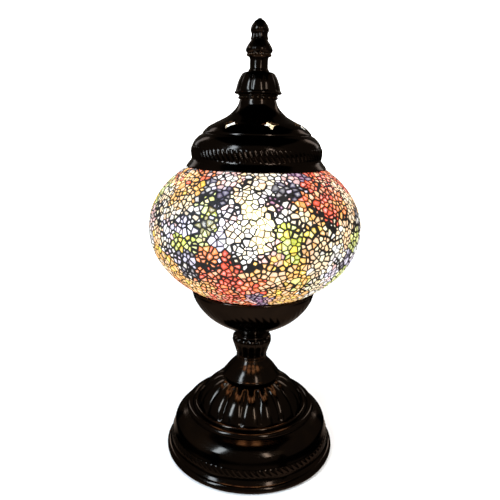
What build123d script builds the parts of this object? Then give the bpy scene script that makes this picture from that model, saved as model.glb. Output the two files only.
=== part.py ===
from build123d import *
import os
from math import cos, hypot, pi, radians, sin

# Table lamp with a flattened mosaic globe on a turned and cast metal stem.
# Millimetres, +Z up, origin on the surface it stands on, on the lamp's axis.
# The cord leaves at the back, +Y. The leads lie side by side along X.

os.makedirs("parts", exist_ok=True)

# ---------------------------------------------------------------- driving dimensions
TOTAL_HEIGHT = 292.1
GLOBE_R = 69.85
GLOBE_HALF_HEIGHT = 51.2
GLOBE_Z = 163.3
UPPER_MOUTH_R = 36.0
LOWER_MOUTH_R = 34.0
MOSAIC_THICKNESS = 2.2
GLASS_THICKNESS = 2.4

METAL_WALL = 1.6
THIN_WALL = 1.4
GAP = 0.3

# base
BEAD_R, BEAD_Z, BEAD_SIZE = 57.6, 3.2, 2.8
DECK_Z = 33.1
SHOULDER_BEAD_R, SHOULDER_BEAD_Z, SHOULDER_BEAD_SIZE = 43.4, 31.8, 2.6
THIN_BEAD_R, THIN_BEAD_Z, THIN_BEAD_SIZE = 38.9, 33.6, 1.3
PLATE_R, PLATE_Z, PLATE_THICKNESS = 55.2, 2.0, 1.4
PLATE_LIP_R, PLATE_LIP_Z = 53.6, 0.9
FOOT_COUNT, FOOT_CIRCLE_R, FOOT_R, FOOT_STEM_R, FOOT_BARB_R = 4, 46.0, 5.0, 2.4, 3.1
FOOT_BARB_HEIGHT = 1.2
INLET_Z, INLET_BORE_R, INLET_SLEEVE_R, INLET_FLANGE_R = 19.5, 2.75, 3.55, 4.4
INLET_INNER_Y, INLET_OUTER_Y, INLET_FLANGE_THICKNESS = 49.6, 57.0, 1.4

# stem
DOME_TOP_Z = 54.0
COLLAR_TOP_Z = 69.0
KNOP_TOP_Z = 88.0
CUP_RIM_Z = 123.4
FLUTE_COUNT, FLUTE_DEPTH, FLUTE_WIDTH = 16, 1.1, 0.9
KNOP_RIB_COUNT, KNOP_RIB_DEPTH, KNOP_RIB_WIDTH = 14, 0.8, 0.8
LEDGE_Z, LEDGE_THICKNESS, LEDGE_R, LEDGE_ROOT_R = 113.0, 1.5, 35.8, 38.4
GASKET_INNER_R, GASKET_FOOT_R, GASKET_OUTER_R, GASKET_SHOULDER_Z = 36.2, 38.5, 39.4, 117.6

# threaded tube and what it clamps
TUBE_R, TUBE_BORE_R, TUBE_LOW_Z, TUBE_HIGH_Z = 5.0, 4.0, 24.5, 101.5
TUBE_HOLE_R = 5.2
TUBE_NUT_FLATS, TUBE_NUT_HEIGHT = 14.0, 4.8
TUBE_WASHER_R, TUBE_WASHER_HEIGHT = 9.0, 1.2

# lampholder
HUB_SLEEVE_R, HUB_LOW_Z, HUB_FLANGE_Z, HUB_FLANGE_HEIGHT = 7.5, 96.0, 100.0, 2.0
HOLDER_R, HOLDER_BORE_R, HOLDER_TOP_Z = 12.5, 10.9, 137.0
HOLDER_LIP_R, HOLDER_LIP_HEIGHT, HOLDER_RIM_ROUNDING = 8.2, 1.4, 1.0
INSERT_LOW_Z, INSERT_TOP_Z = 113.0, 121.0
CONTACT_BORE_R, CONTACT_R, CONTACT_TOP_Z = 6.0, 6.8, 135.4
TERMINAL_X, TERMINAL_SHANK_R, TERMINAL_HEAD_R = 7.0, 1.5, 2.6
TERMINAL_HEAD_HEIGHT, TERMINAL_SHANK_LENGTH = 1.6, 4.0
LEAF_WIDTH, LEAF_THICKNESS, LEAF_TOP_Z = 4.0, 0.5, 122.2

# leads
LEAD_R, LEAD_X, LEAD_START_Y = 1.1, 1.3, 48.5
LEAD_ROUTE_YZ = [(LEAD_START_Y, INLET_Z), (36.0, 17.0), (20.0, 9.6), (0.0, 10.4)]
LEAD_SPREAD_Z, LEAD_TURN_Z = 99.0, 107.0
LEAD_RADII = [22.0, 22.0, 11.5, 8.0, 7.0]

# bulb
BULB_R, BULB_Z, BULB_WALL = 22.5, 165.0, 0.8
TIP_Z, TIP_HEIGHT, TIP_R = 122.4, 1.2, 2.2
INSULATOR_TOP_Z, SCREW_TOP_Z = 126.0, 140.0
SCREW_CREST_R, SCREW_ROOT_R, SCREW_BORE_R, SCREW_PITCH = 5.9, 5.4, 4.8, 2.54
STEM_R, STEM_TOP_Z = 3.0, 157.0
FILAMENT_Z, FILAMENT_RING_R, FILAMENT_WIRE_R = 166.0, 7.0, 0.35

# cap
CAP_CROWN_Z, CAP_CROWN_R = 244.2, 11.6
CAP_BAND_R, CAP_BAND_Z, CAP_BAND_SIZE = 41.4, 211.2, 1.0
STAR_COUNT, STAR_R, STAR_Z, STAR_TIP, STAR_WAIST = 7, 27.6, 229.8, 5.6, 2.2
STAR_FIRST_DEG, STAR_TILT_DEG = -74.2, 58.5
STUD_R, STUD_HOLE_R, STUD_LOW_Z, STUD_HIGH_Z = 3.0, 3.2, 233.0, 282.5
STUD_NUT_FLATS, STUD_NUT_HEIGHT, STUD_WASHER_R, STUD_WASHER_HEIGHT = 10.0, 4.6, 5.6, 1.0
STRAP_WIDTH, STRAP_THICKNESS, STRAP_BEND_R = 8.0, 0.8, 2.0
STAR_CUT_DEPTH, CUT_MARGIN = 4.0, 1.0

# finial
NECK_RING_R, NECK_RING_Z, NECK_RING_SIZE = 11.5, 245.5, 1.1
NECK_FLANGE_R, NECK_FLANGE_Z, BELL_Z = 12.6, 246.8, 247.8
BELL_TOP_Z = 261.0
FINIAL_TUBE_R, FINIAL_TUBE_TOP_Z = 5.7, 270.0
FINIAL_RING_R, FINIAL_RING_SIZE, FINIAL_RING_TOP_Z = 6.9, 1.0, 272.0
KNOB_GAP, KNOB_BORE_R, KNOB_BORE_TOP_Z = 0.15, 3.05, 283.5

# outlines, as (radius, height) from the bottom up
WALL_OUTLINE = [(56.1, 15.4), (55.3, 18.0), (54.3, 22.0), (53.0, 24.6), (50.0, 27.6), (46.7, 29.8)]
DOME_OUTLINE = [(37.3, DECK_Z), (36.5, 36.0), (34.5, 41.0), (31.0, 46.0), (26.5, 50.0), (22.0, 52.8),
                (18.8, DOME_TOP_Z)]
COLLAR_OUTLINE = [(18.8, DOME_TOP_Z), (19.0, 55.2), (18.7, 57.5), (17.4, 60.0), (15.0, 63.0),
                  (12.0, 66.5), (9.8, COLLAR_TOP_Z)]
KNOP_OUTLINE = [(9.8, COLLAR_TOP_Z), (11.0, 72.5), (12.7, 78.0), (13.9, 82.3), (13.0, 85.2),
                (11.0, KNOP_TOP_Z)]
CUP_OUTLINE = [(11.0, KNOP_TOP_Z), (15.6, 91.6), (22.0, 95.4), (27.6, 98.9), (32.6, 103.0), (37.0, 108.2),
               (40.5, 114.0), (42.2, 119.4), (42.6, CUP_RIM_Z)]
CAP_OUTLINE = [(45.2, 202.5), (43.5, 205.0), (42.2, 207.0), (41.6, 209.0), (41.9, 212.0), (41.4, 216.0),
               (39.8, 219.0), (37.4, 221.5), (34.8, 223.3), (33.7, 225.2), (31.4, 227.4), (27.8, 229.7),
               (23.0, 232.0), (18.5, 234.6), (15.0, 237.8), (12.6, 241.0), (CAP_CROWN_R, CAP_CROWN_Z)]
BELL_OUTLINE = [(15.0, BELL_Z), (14.8, 249.4), (13.8, 252.9), (12.1, 256.9), (10.2, 259.7),
                (7.0, BELL_TOP_Z)]
KNOB_OUTLINE = [(8.0, FINIAL_RING_TOP_Z + KNOB_GAP), (8.4, 274.2), (7.2, 277.3), (5.8, 279.6), (5.0, 282.0),
                (5.3, 284.0), (5.9, 285.6), (5.1, 288.4), (3.8, 290.6), (1.8, 291.9)]
STRAP_ROUTE = [(0.0, 242.2), (6.5, 242.2), (10.5, 235.5), (24.0, 225.5), (31.0, 218.0), (34.6, 208.5),
               (34.6, 198.0)]


# ---------------------------------------------------------------- helpers
def inset(outline, wall):
    """The outline moved inwards by the wall, its end points moved level so that their faces stay flat."""
    moved = []
    last = len(outline) - 1
    for i, (r, z) in enumerate(outline):
        r0, z0 = outline[max(i - 1, 0)]
        r1, z1 = outline[min(i + 1, last)]
        length = hypot(r1 - r0, z1 - z0)
        out_r, out_z = (z1 - z0) / length, (r0 - r1) / length
        if i in (0, last):
            moved.append((r - wall / max(out_r, 0.5), z))
        else:
            moved.append((r - wall * out_r, z - wall * out_z))
    return moved


def turned_face(outline):
    """The face between a smooth outline and the axis, to be revolved into a solid."""
    with BuildSketch(Plane.XZ) as face:
        with BuildLine():
            Spline(*outline)
            Polyline(outline[-1], (0, outline[-1][1]), (0, outline[0][1]), outline[0])
        make_face()
    return face.sketch


def shell_face(outline, wall):
    """The face between an outline and its inset, to be revolved into an open shell."""
    inner = inset(outline, wall)
    with BuildSketch(Plane.XZ) as face:
        with BuildLine():
            Spline(*outline)
            Line(outline[-1], inner[-1])
            Spline(*inner[::-1])
            Line(inner[0], outline[0])
        make_face()
    return face.sketch


def polygon_face(*points):
    """A straight-sided face in the plane of the axis, to be revolved."""
    with BuildSketch(Plane.XZ) as face:
        with BuildLine():
            Polyline(*points, close=True)
        make_face()
    return face.sketch


def ring_face(inner_r, outer_r, low_z, high_z):
    """A rectangle beside the axis, to be revolved into a ring or, from a radius of 0, into a disc."""
    return polygon_face((inner_r, low_z), (outer_r, low_z), (outer_r, high_z), (inner_r, high_z))


def bead_face(centre_r, centre_z, size):
    """A circle beside the axis, to be revolved into a round bead."""
    with BuildSketch(Plane.XZ) as face:
        with Locations((centre_r, centre_z)):
            Circle(size)
    return face.sketch


def globe_face(growth):
    """Half the globe's outline moved out by growth, to be revolved into a flattened ball."""
    with BuildSketch(Plane.XZ) as face:
        with Locations((0, GLOBE_Z)):
            Ellipse(GLOBE_R + growth, GLOBE_HALF_HEIGHT + growth)
        with Locations((-GLOBE_R, GLOBE_Z)):
            Rectangle(2 * GLOBE_R, 4 * GLOBE_R, mode=Mode.SUBTRACT)
    return face.sketch


def turn(face):
    """Revolves a face about the lamp's axis and adds it to the part being built."""
    revolve(face, axis=Axis.Z)


def turn_away(face):
    """Revolves a face about the lamp's axis and takes it from the part being built."""
    revolve(face, axis=Axis.Z, mode=Mode.SUBTRACT)


def below(outline, top_z):
    """The points of an outline that lie lower than this height."""
    return [(r, z) for r, z in outline if z < top_z]


def meridian(degrees_round):
    """The plane through the axis at this azimuth, radius along its x and height along its y."""
    angle = radians(degrees_round)
    return Plane(origin=(0, 0, 0), x_dir=(cos(angle), sin(angle), 0), z_dir=(sin(angle), -cos(angle), 0))


def groove_face(outline, depth):
    """Everything outside an outline moved in by depth, out to past its widest point: a groove's section."""
    floor = inset(outline, depth)
    reach = max(r for r, z in outline) + CUT_MARGIN
    with BuildSketch() as face:
        with BuildLine():
            Spline(*floor)
            Polyline(floor[-1], (reach, floor[-1][1]), (reach, floor[0][1]), floor[0])
        make_face()
    return face.sketch


def cut_grooves(outline, count, depth, width):
    """Cuts grooves down an outline, evenly spaced round the axis, from the part being built."""
    for k in range(count):
        section = meridian(360 * (k + 0.5) / count) * groove_face(outline, depth)
        extrude(section, amount=width / 2, both=True, mode=Mode.SUBTRACT)


def hex_nut_faces(flats, hole_r, low_z):
    """A hexagon with a hole, to be extruded into a nut."""
    with BuildSketch(Plane.XY.offset(low_z)) as face:
        RegularPolygon(flats / 2, 6, major_radius=False)
        Circle(hole_r, mode=Mode.SUBTRACT)
    return face.sketch


def finish(part, label):
    """Names a finished piece and writes it."""
    part.label = label
    export_step(part, f"parts/{label}.step")


# ---------------------------------------------------------------- base
bead_top = (58.3, 5.91)
deck_edge_drop = DECK_Z - SHOULDER_BEAD_Z
shoulder_inner_r = SHOULDER_BEAD_R - (SHOULDER_BEAD_SIZE**2 - deck_edge_drop**2) ** 0.5
thin_reach = (THIN_BEAD_SIZE**2 - (THIN_BEAD_Z - DECK_Z) ** 2) ** 0.5


def base_outer_edges():
    """The outside of the base from the bottom of its foot bead to the deck's inner edge."""
    ThreePointArc((BEAD_R, BEAD_Z - BEAD_SIZE), (BEAD_R + BEAD_SIZE, BEAD_Z), bead_top)
    ThreePointArc(bead_top, (57.1, 8.2), (56.9, 10.4))
    ThreePointArc((56.9, 10.4), (57.5, 12.8), WALL_OUTLINE[0])
    Spline(*WALL_OUTLINE)
    Line(WALL_OUTLINE[-1], (45.65, 30.5))
    ThreePointArc((45.65, 30.5), (SHOULDER_BEAD_R, SHOULDER_BEAD_Z + SHOULDER_BEAD_SIZE),
                  (shoulder_inner_r, DECK_Z))
    Line((shoulder_inner_r, DECK_Z), (THIN_BEAD_R + thin_reach, DECK_Z))
    ThreePointArc((THIN_BEAD_R + thin_reach, DECK_Z), (THIN_BEAD_R, THIN_BEAD_Z + THIN_BEAD_SIZE),
                  (THIN_BEAD_R - thin_reach, DECK_Z))


with BuildPart() as base_shell:
    with BuildSketch(Plane.XZ):
        with BuildLine():
            base_outer_edges()
            Polyline((THIN_BEAD_R - thin_reach, DECK_Z), (TUBE_HOLE_R, DECK_Z),
                     (TUBE_HOLE_R, DECK_Z - METAL_WALL), (40.5, DECK_Z - METAL_WALL), (44.8, 28.7),
                     (48.7, 26.3), (51.5, 23.4), (52.7, 21.4), (53.7, 17.6), (54.3, 13.5),
                     (54.3, PLATE_Z + PLATE_THICKNESS), (PLATE_R, PLATE_Z + PLATE_THICKNESS),
                     (PLATE_R, PLATE_Z), (PLATE_LIP_R, PLATE_Z), (PLATE_LIP_R, PLATE_LIP_Z),
                     (BEAD_R, BEAD_Z - BEAD_SIZE))
        make_face()
    revolve(axis=Axis.Z)
    with BuildSketch(Plane(origin=(0, INLET_INNER_Y, INLET_Z), x_dir=(1, 0, 0), z_dir=(0, 1, 0))):
        Circle(INLET_SLEEVE_R)
    extrude(amount=INLET_OUTER_Y - INLET_INNER_Y, mode=Mode.SUBTRACT)
finish(base_shell.part, "base_shell")

foot_spots = PolarLocations(FOOT_CIRCLE_R, FOOT_COUNT, start_angle=45)

with BuildPart() as bottom_plate:
    with BuildSketch(Plane.XY.offset(PLATE_Z)):
        Circle(PLATE_R - 0.05)
        with foot_spots:
            Circle(FOOT_STEM_R, mode=Mode.SUBTRACT)
    extrude(amount=PLATE_THICKNESS)
finish(bottom_plate.part, "bottom_plate")

for number, spot in enumerate(foot_spots, start=1):
    with BuildPart() as foot:
        with BuildSketch(Plane.XY):
            with Locations(spot.position):
                Circle(FOOT_R)
        extrude(amount=PLATE_Z)
        chamfer(foot.faces().sort_by(Axis.Z)[0].edges(), 0.6)
        with BuildSketch(Plane.XY.offset(PLATE_Z)):
            with Locations(spot.position):
                Circle(FOOT_STEM_R)
        extrude(amount=PLATE_THICKNESS)
        with BuildSketch(Plane.XY.offset(PLATE_Z + PLATE_THICKNESS)):
            with Locations(spot.position):
                Circle(FOOT_BARB_R)
        extrude(amount=FOOT_BARB_HEIGHT, taper=20)
    finish(foot.part, f"foot_{number}")

with BuildPart() as cord_grommet:
    with BuildSketch(Plane(origin=(0, INLET_INNER_Y, INLET_Z), x_dir=(1, 0, 0), z_dir=(0, 1, 0))) as inlet:
        Circle(INLET_FLANGE_R)
    extrude(amount=INLET_OUTER_Y - INLET_INNER_Y)
    chamfer(cord_grommet.faces().sort_by(Axis.Y)[-1].edges(), 0.5)
    with BuildSketch(Plane.XZ):
        with BuildLine():
            base_outer_edges()
            Polyline((THIN_BEAD_R - thin_reach, DECK_Z), (0, DECK_Z), (0, 0), (INLET_INNER_Y, 0),
                     (BEAD_R, BEAD_Z - BEAD_SIZE))
        make_face()
    revolve(axis=Axis.Z, mode=Mode.SUBTRACT)
    with BuildSketch(inlet.workplanes[0]):
        Circle(INLET_SLEEVE_R)
    extrude(amount=INLET_OUTER_Y - INLET_INNER_Y - 0.6)
    with BuildSketch(inlet.workplanes[0]):
        Circle(INLET_FLANGE_R)
    extrude(amount=INLET_FLANGE_THICKNESS)
    with BuildSketch(inlet.workplanes[0]):
        Circle(INLET_BORE_R)
    extrude(amount=INLET_OUTER_Y - INLET_INNER_Y, mode=Mode.SUBTRACT)
finish(cord_grommet.part, "cord_grommet")

# ---------------------------------------------------------------- stem castings
with BuildPart() as fluted_dome:
    turn(turned_face(DOME_OUTLINE))
    cut_grooves(DOME_OUTLINE, FLUTE_COUNT, FLUTE_DEPTH, FLUTE_WIDTH)
    turn_away(turned_face(below(inset(DOME_OUTLINE, FLUTE_DEPTH + METAL_WALL), DOME_TOP_Z - METAL_WALL)))
    turn_away(ring_face(0, TUBE_HOLE_R, DECK_Z, DOME_TOP_Z))
finish(fluted_dome.part, "fluted_dome")

with BuildPart() as bell_collar:
    turn(turned_face(COLLAR_OUTLINE))
    turn_away(turned_face(below(inset(COLLAR_OUTLINE, METAL_WALL), COLLAR_TOP_Z - METAL_WALL)))
    turn_away(ring_face(0, TUBE_HOLE_R, DOME_TOP_Z, COLLAR_TOP_Z))
finish(bell_collar.part, "bell_collar")

with BuildPart() as neck_knop:
    turn(turned_face(KNOP_OUTLINE))
    cut_grooves(KNOP_OUTLINE[1:-1], KNOP_RIB_COUNT, KNOP_RIB_DEPTH, KNOP_RIB_WIDTH)
    turn_away(ring_face(0, TUBE_HOLE_R, COLLAR_TOP_Z, KNOP_TOP_Z))
finish(neck_knop.part, "neck_knop")

ledge_top_z = LEDGE_Z + LEDGE_THICKNESS
with BuildPart() as globe_cup:
    turn(shell_face(CUP_OUTLINE, METAL_WALL))
    turn(ring_face(TUBE_HOLE_R, CUP_OUTLINE[0][0], KNOP_TOP_Z, KNOP_TOP_Z + METAL_WALL))
    turn(polygon_face((LEDGE_R, LEDGE_Z), (LEDGE_ROOT_R, LEDGE_Z - 1.0), (LEDGE_ROOT_R + 0.6, ledge_top_z),
                      (LEDGE_R, ledge_top_z)))
    turn_away(globe_face(0))
finish(globe_cup.part, "globe_cup")

# ---------------------------------------------------------------- threaded tube, nuts and washers
with BuildPart() as threaded_tube:
    turn(ring_face(TUBE_BORE_R, TUBE_R, TUBE_LOW_Z, TUBE_HIGH_Z))
    chamfer(threaded_tube.edges().filter_by(GeomType.CIRCLE).group_by(SortBy.RADIUS)[-1], 0.4)
finish(threaded_tube.part, "threaded_tube")

base_washer_top = DECK_Z - METAL_WALL
base_nut_top = base_washer_top - TUBE_WASHER_HEIGHT
cup_washer_low = KNOP_TOP_Z + METAL_WALL
cup_nut_low = cup_washer_low + TUBE_WASHER_HEIGHT

with BuildPart() as base_washer:
    turn(ring_face(TUBE_R, TUBE_WASHER_R, base_nut_top, base_washer_top))
finish(base_washer.part, "base_washer")

with BuildPart() as base_nut:
    extrude(hex_nut_faces(TUBE_NUT_FLATS, TUBE_R, base_nut_top - TUBE_NUT_HEIGHT), amount=TUBE_NUT_HEIGHT)
finish(base_nut.part, "base_nut")

with BuildPart() as cup_washer:
    turn(ring_face(TUBE_R, TUBE_WASHER_R, cup_washer_low, cup_nut_low))
finish(cup_washer.part, "cup_washer")

with BuildPart() as cup_nut:
    extrude(hex_nut_faces(TUBE_NUT_FLATS, TUBE_R, cup_nut_low), amount=TUBE_NUT_HEIGHT)
finish(cup_nut.part, "cup_nut")

# ---------------------------------------------------------------- lampholder
with BuildPart() as lampholder_hub:
    turn(ring_face(TUBE_R, HUB_SLEEVE_R, HUB_LOW_Z, HUB_FLANGE_Z))
    turn(ring_face(TUBE_R, HOLDER_R, HUB_FLANGE_Z, HUB_FLANGE_Z + HUB_FLANGE_HEIGHT))
finish(lampholder_hub.part, "lampholder_hub")

with BuildPart() as lampholder_shell:
    turn(ring_face(HOLDER_BORE_R, HOLDER_R, HUB_FLANGE_Z + HUB_FLANGE_HEIGHT, HOLDER_TOP_Z))
    rim_edges = lampholder_shell.edges().filter_by(GeomType.CIRCLE).group_by(Axis.Z)[-1]
    fillet(rim_edges.sort_by(SortBy.RADIUS)[-1], HOLDER_RIM_ROUNDING)
    turn(ring_face(HOLDER_LIP_R, HOLDER_BORE_R, HOLDER_TOP_Z - HOLDER_LIP_HEIGHT, HOLDER_TOP_Z))
finish(lampholder_shell.part, "lampholder_shell")

terminal_spots = GridLocations(2 * TERMINAL_X, 0, 2, 1)

with BuildPart() as lampholder_insert:
    turn(ring_face(0, HOLDER_BORE_R, INSERT_LOW_Z, INSERT_TOP_Z))
    with BuildSketch(Plane.XY.offset(INSERT_LOW_Z)):
        with terminal_spots:
            Circle(TERMINAL_SHANK_R)
    extrude(amount=TERMINAL_SHANK_LENGTH, mode=Mode.SUBTRACT)
finish(lampholder_insert.part, "lampholder_insert")

with BuildPart() as terminal_screws:
    with BuildSketch(Plane.XY.offset(INSERT_LOW_Z)):
        with terminal_spots:
            Circle(TERMINAL_SHANK_R)
    extrude(amount=TERMINAL_SHANK_LENGTH)
    with BuildSketch(Plane.XY.offset(INSERT_LOW_Z - TERMINAL_HEAD_HEIGHT)):
        with terminal_spots:
            Circle(TERMINAL_HEAD_R)
    extrude(amount=TERMINAL_HEAD_HEIGHT)
finish(terminal_screws.part, "terminal_screws")

with BuildPart() as screw_contact:
    turn(ring_face(CONTACT_BORE_R, CONTACT_R, INSERT_TOP_Z, CONTACT_TOP_Z))
finish(screw_contact.part, "screw_contact")

with BuildPart() as centre_contact:
    with BuildSketch(Plane.XZ):
        with BuildLine():
            Polyline((-5.0, INSERT_TOP_Z), (-2.6, INSERT_TOP_Z), (-0.8, LEAF_TOP_Z - LEAF_THICKNESS),
                     (2.0, LEAF_TOP_Z - LEAF_THICKNESS), (2.0, LEAF_TOP_Z), (-1.0, LEAF_TOP_Z),
                     (-2.9, INSERT_TOP_Z + LEAF_THICKNESS), (-5.0, INSERT_TOP_Z + LEAF_THICKNESS),
                     close=True)
        make_face()
    extrude(amount=LEAF_WIDTH / 2, both=True)
finish(centre_contact.part, "centre_contact")

# ---------------------------------------------------------------- leads, from the inlet up the tube
lead_top_z = INSERT_LOW_Z - TERMINAL_HEAD_HEIGHT
for name, side in (("lead_live", 1), ("lead_neutral", -1)):
    route = [(side * LEAD_X, y, z) for y, z in LEAD_ROUTE_YZ]
    route.append((side * LEAD_X, 0, LEAD_SPREAD_Z))
    route.append((side * TERMINAL_X, 0, LEAD_TURN_Z))
    route.append((side * TERMINAL_X, 0, lead_top_z))
    with BuildPart() as lead:
        with BuildLine() as path:
            FilletPolyline(*route, radius=LEAD_RADII)
        lead_path = path.wires()[0]
        with BuildSketch(Plane(origin=lead_path @ 0, z_dir=lead_path % 0)):
            Circle(LEAD_R)
        sweep(path=lead_path)
    swept_volume = pi * LEAD_R**2 * lead_path.length
    print(name, "volume", round(lead.part.volume, 1), "section times length", round(swept_volume, 1))
    finish(lead.part, name)

# ---------------------------------------------------------------- bulb
shoulder_r = 12.0
shoulder_z = BULB_Z - (BULB_R**2 - shoulder_r**2) ** 0.5


def bulb_face(wall):
    """Half the outline of the bulb's envelope moved in by wall, from its neck to its crown."""
    inner_r = BULB_R - wall
    low = (6.4 - wall, SCREW_TOP_Z)
    waist = (shoulder_r - wall, BULB_Z - (inner_r**2 - (shoulder_r - wall) ** 2) ** 0.5)
    with BuildSketch(Plane.XZ) as face:
        with BuildLine():
            Spline(low, (7.9 - wall, 143.2), waist)
            ThreePointArc(waist, (inner_r, BULB_Z), (0, BULB_Z + inner_r))
            Polyline((0, BULB_Z + inner_r), (0, SCREW_TOP_Z), low)
        make_face()
    return face.sketch


with BuildPart() as bulb_glass:
    turn(bulb_face(0))
    turn_away(bulb_face(BULB_WALL))
finish(bulb_glass.part, "bulb_glass")

turns = int((SCREW_TOP_Z - INSULATOR_TOP_Z) / SCREW_PITCH)
thread_outline = [(SCREW_ROOT_R, INSULATOR_TOP_Z)]
for k in range(turns):
    thread_outline.append((SCREW_CREST_R, INSULATOR_TOP_Z + (k + 0.5) * SCREW_PITCH))
    thread_outline.append((SCREW_ROOT_R, INSULATOR_TOP_Z + (k + 1) * SCREW_PITCH))

with BuildPart() as bulb_screw_cap:
    turn(polygon_face(*thread_outline, (SCREW_ROOT_R, SCREW_TOP_Z), (SCREW_BORE_R, SCREW_TOP_Z),
                      (SCREW_BORE_R, INSULATOR_TOP_Z)))
finish(bulb_screw_cap.part, "bulb_screw_cap")

with BuildPart() as bulb_insulator:
    turn(polygon_face((0, TIP_Z + TIP_HEIGHT), (TIP_R + 0.4, TIP_Z + TIP_HEIGHT),
                      (SCREW_ROOT_R, INSULATOR_TOP_Z), (0, INSULATOR_TOP_Z)))
finish(bulb_insulator.part, "bulb_insulator")

with BuildPart() as bulb_tip_contact:
    turn(ring_face(0, TIP_R, TIP_Z, TIP_Z + TIP_HEIGHT))
    fillet(bulb_tip_contact.edges().filter_by(GeomType.CIRCLE).sort_by(Axis.Z)[0], 0.6)
finish(bulb_tip_contact.part, "bulb_tip_contact")

with BuildPart() as bulb_stem:
    turn(polygon_face((0, SCREW_TOP_Z - 2), (STEM_R, SCREW_TOP_Z - 2), (STEM_R, SCREW_TOP_Z + 6),
                      (STEM_R / 2, SCREW_TOP_Z + 8), (STEM_R / 2, STEM_TOP_Z), (0, STEM_TOP_Z)))
    turn(ring_face(STEM_R, SCREW_BORE_R, SCREW_TOP_Z - 2, SCREW_TOP_Z - 1))
finish(bulb_stem.part, "bulb_stem")

with BuildPart() as bulb_filament:
    turn(bead_face(FILAMENT_RING_R, FILAMENT_Z, FILAMENT_WIRE_R))
    for side in (1, -1):
        support = Edge.make_line((side * STEM_R / 2, 0, STEM_TOP_Z - 1),
                                 (side * FILAMENT_RING_R, 0, FILAMENT_Z))
        with BuildSketch(Plane(origin=support @ 0, z_dir=support % 0)):
            Circle(FILAMENT_WIRE_R)
        sweep(path=Wire([support]))
finish(bulb_filament.part, "bulb_filament")

# ---------------------------------------------------------------- globe
with BuildPart() as mosaic_layer:
    turn(globe_face(0))
    turn_away(globe_face(-MOSAIC_THICKNESS))
    turn_away(ring_face(0, LOWER_MOUTH_R, GLOBE_Z - GLOBE_HALF_HEIGHT - CUT_MARGIN, GLOBE_Z))
    turn_away(ring_face(0, UPPER_MOUTH_R, GLOBE_Z, GLOBE_Z + GLOBE_HALF_HEIGHT + CUT_MARGIN))
finish(mosaic_layer.part, "mosaic_layer")

with BuildPart() as glass_globe:
    turn(globe_face(-MOSAIC_THICKNESS))
    turn_away(globe_face(-MOSAIC_THICKNESS - GLASS_THICKNESS))
    turn_away(ring_face(0, LOWER_MOUTH_R, GLOBE_Z - GLOBE_HALF_HEIGHT - CUT_MARGIN, GLOBE_Z))
    turn_away(ring_face(0, UPPER_MOUTH_R, GLOBE_Z, GLOBE_Z + GLOBE_HALF_HEIGHT + CUT_MARGIN))
finish(glass_globe.part, "glass_globe")

with BuildPart() as globe_gasket:
    turn(polygon_face((GASKET_INNER_R, ledge_top_z), (GASKET_FOOT_R, ledge_top_z),
                      (GASKET_OUTER_R, GASKET_SHOULDER_Z), (GASKET_OUTER_R, GLOBE_Z),
                      (GASKET_INNER_R, GLOBE_Z)))
    turn_away(globe_face(0))
finish(globe_gasket.part, "globe_gasket")

# ---------------------------------------------------------------- cap
with BuildPart() as cap_dome:
    turn(shell_face(CAP_OUTLINE, THIN_WALL))
    turn(ring_face(0, CAP_CROWN_R - THIN_WALL, CAP_CROWN_Z - THIN_WALL, CAP_CROWN_Z))
    turn(bead_face(CAP_BAND_R, CAP_BAND_Z, CAP_BAND_SIZE))
    turn_away(ring_face(0, STUD_HOLE_R, CAP_CROWN_Z - 2 * THIN_WALL, CAP_CROWN_Z))
    turn_away(globe_face(GAP))
    for k in range(STAR_COUNT):
        azimuth = radians(STAR_FIRST_DEG + 360 * k / STAR_COUNT)
        tilt = radians(STAR_TILT_DEG)
        out = (cos(azimuth) * cos(tilt), sin(azimuth) * cos(tilt), sin(tilt))
        across = (-sin(azimuth), cos(azimuth), 0)
        spot = (STAR_R * cos(azimuth), STAR_R * sin(azimuth), STAR_Z)
        with BuildSketch(Plane(origin=spot, x_dir=across, z_dir=out)):
            with BuildLine():
                Polyline((STAR_TIP, 0), (STAR_WAIST, STAR_WAIST), (0, STAR_TIP), (-STAR_WAIST, STAR_WAIST),
                         (-STAR_TIP, 0), (-STAR_WAIST, -STAR_WAIST), (0, -STAR_TIP),
                         (STAR_WAIST, -STAR_WAIST), close=True)
            make_face()
        extrude(amount=STAR_CUT_DEPTH, both=True, mode=Mode.SUBTRACT)
finish(cap_dome.part, "cap_dome")

with BuildPart() as spring_strap:
    for side in (1, -1):
        with BuildSketch(Plane.XZ):
            with BuildLine():
                FilletPolyline(*[(side * r, z) for r, z in STRAP_ROUTE], radius=STRAP_BEND_R)
            trace(line_width=STRAP_THICKNESS)
        extrude(amount=STRAP_WIDTH / 2, both=True)
    with BuildSketch(Plane.XY.offset(STRAP_ROUTE[0][1])):
        Circle(STUD_HOLE_R)
    extrude(amount=STRAP_THICKNESS, both=True, mode=Mode.SUBTRACT)
finish(spring_strap.part, "spring_strap")

strap_low_z = STRAP_ROUTE[0][1] - STRAP_THICKNESS / 2
with BuildPart() as cap_washer:
    turn(ring_face(STUD_R, STUD_WASHER_R, strap_low_z - STUD_WASHER_HEIGHT, strap_low_z))
finish(cap_washer.part, "cap_washer")

cap_nut_low = strap_low_z - STUD_WASHER_HEIGHT - STUD_NUT_HEIGHT
with BuildPart() as cap_nut:
    extrude(hex_nut_faces(STUD_NUT_FLATS, STUD_R, cap_nut_low), amount=STUD_NUT_HEIGHT)
finish(cap_nut.part, "cap_nut")

with BuildPart() as cap_stud:
    turn(ring_face(0, STUD_R, STUD_LOW_Z, STUD_HIGH_Z))
    chamfer(cap_stud.edges().filter_by(GeomType.CIRCLE), 0.5)
finish(cap_stud.part, "cap_stud")

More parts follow.
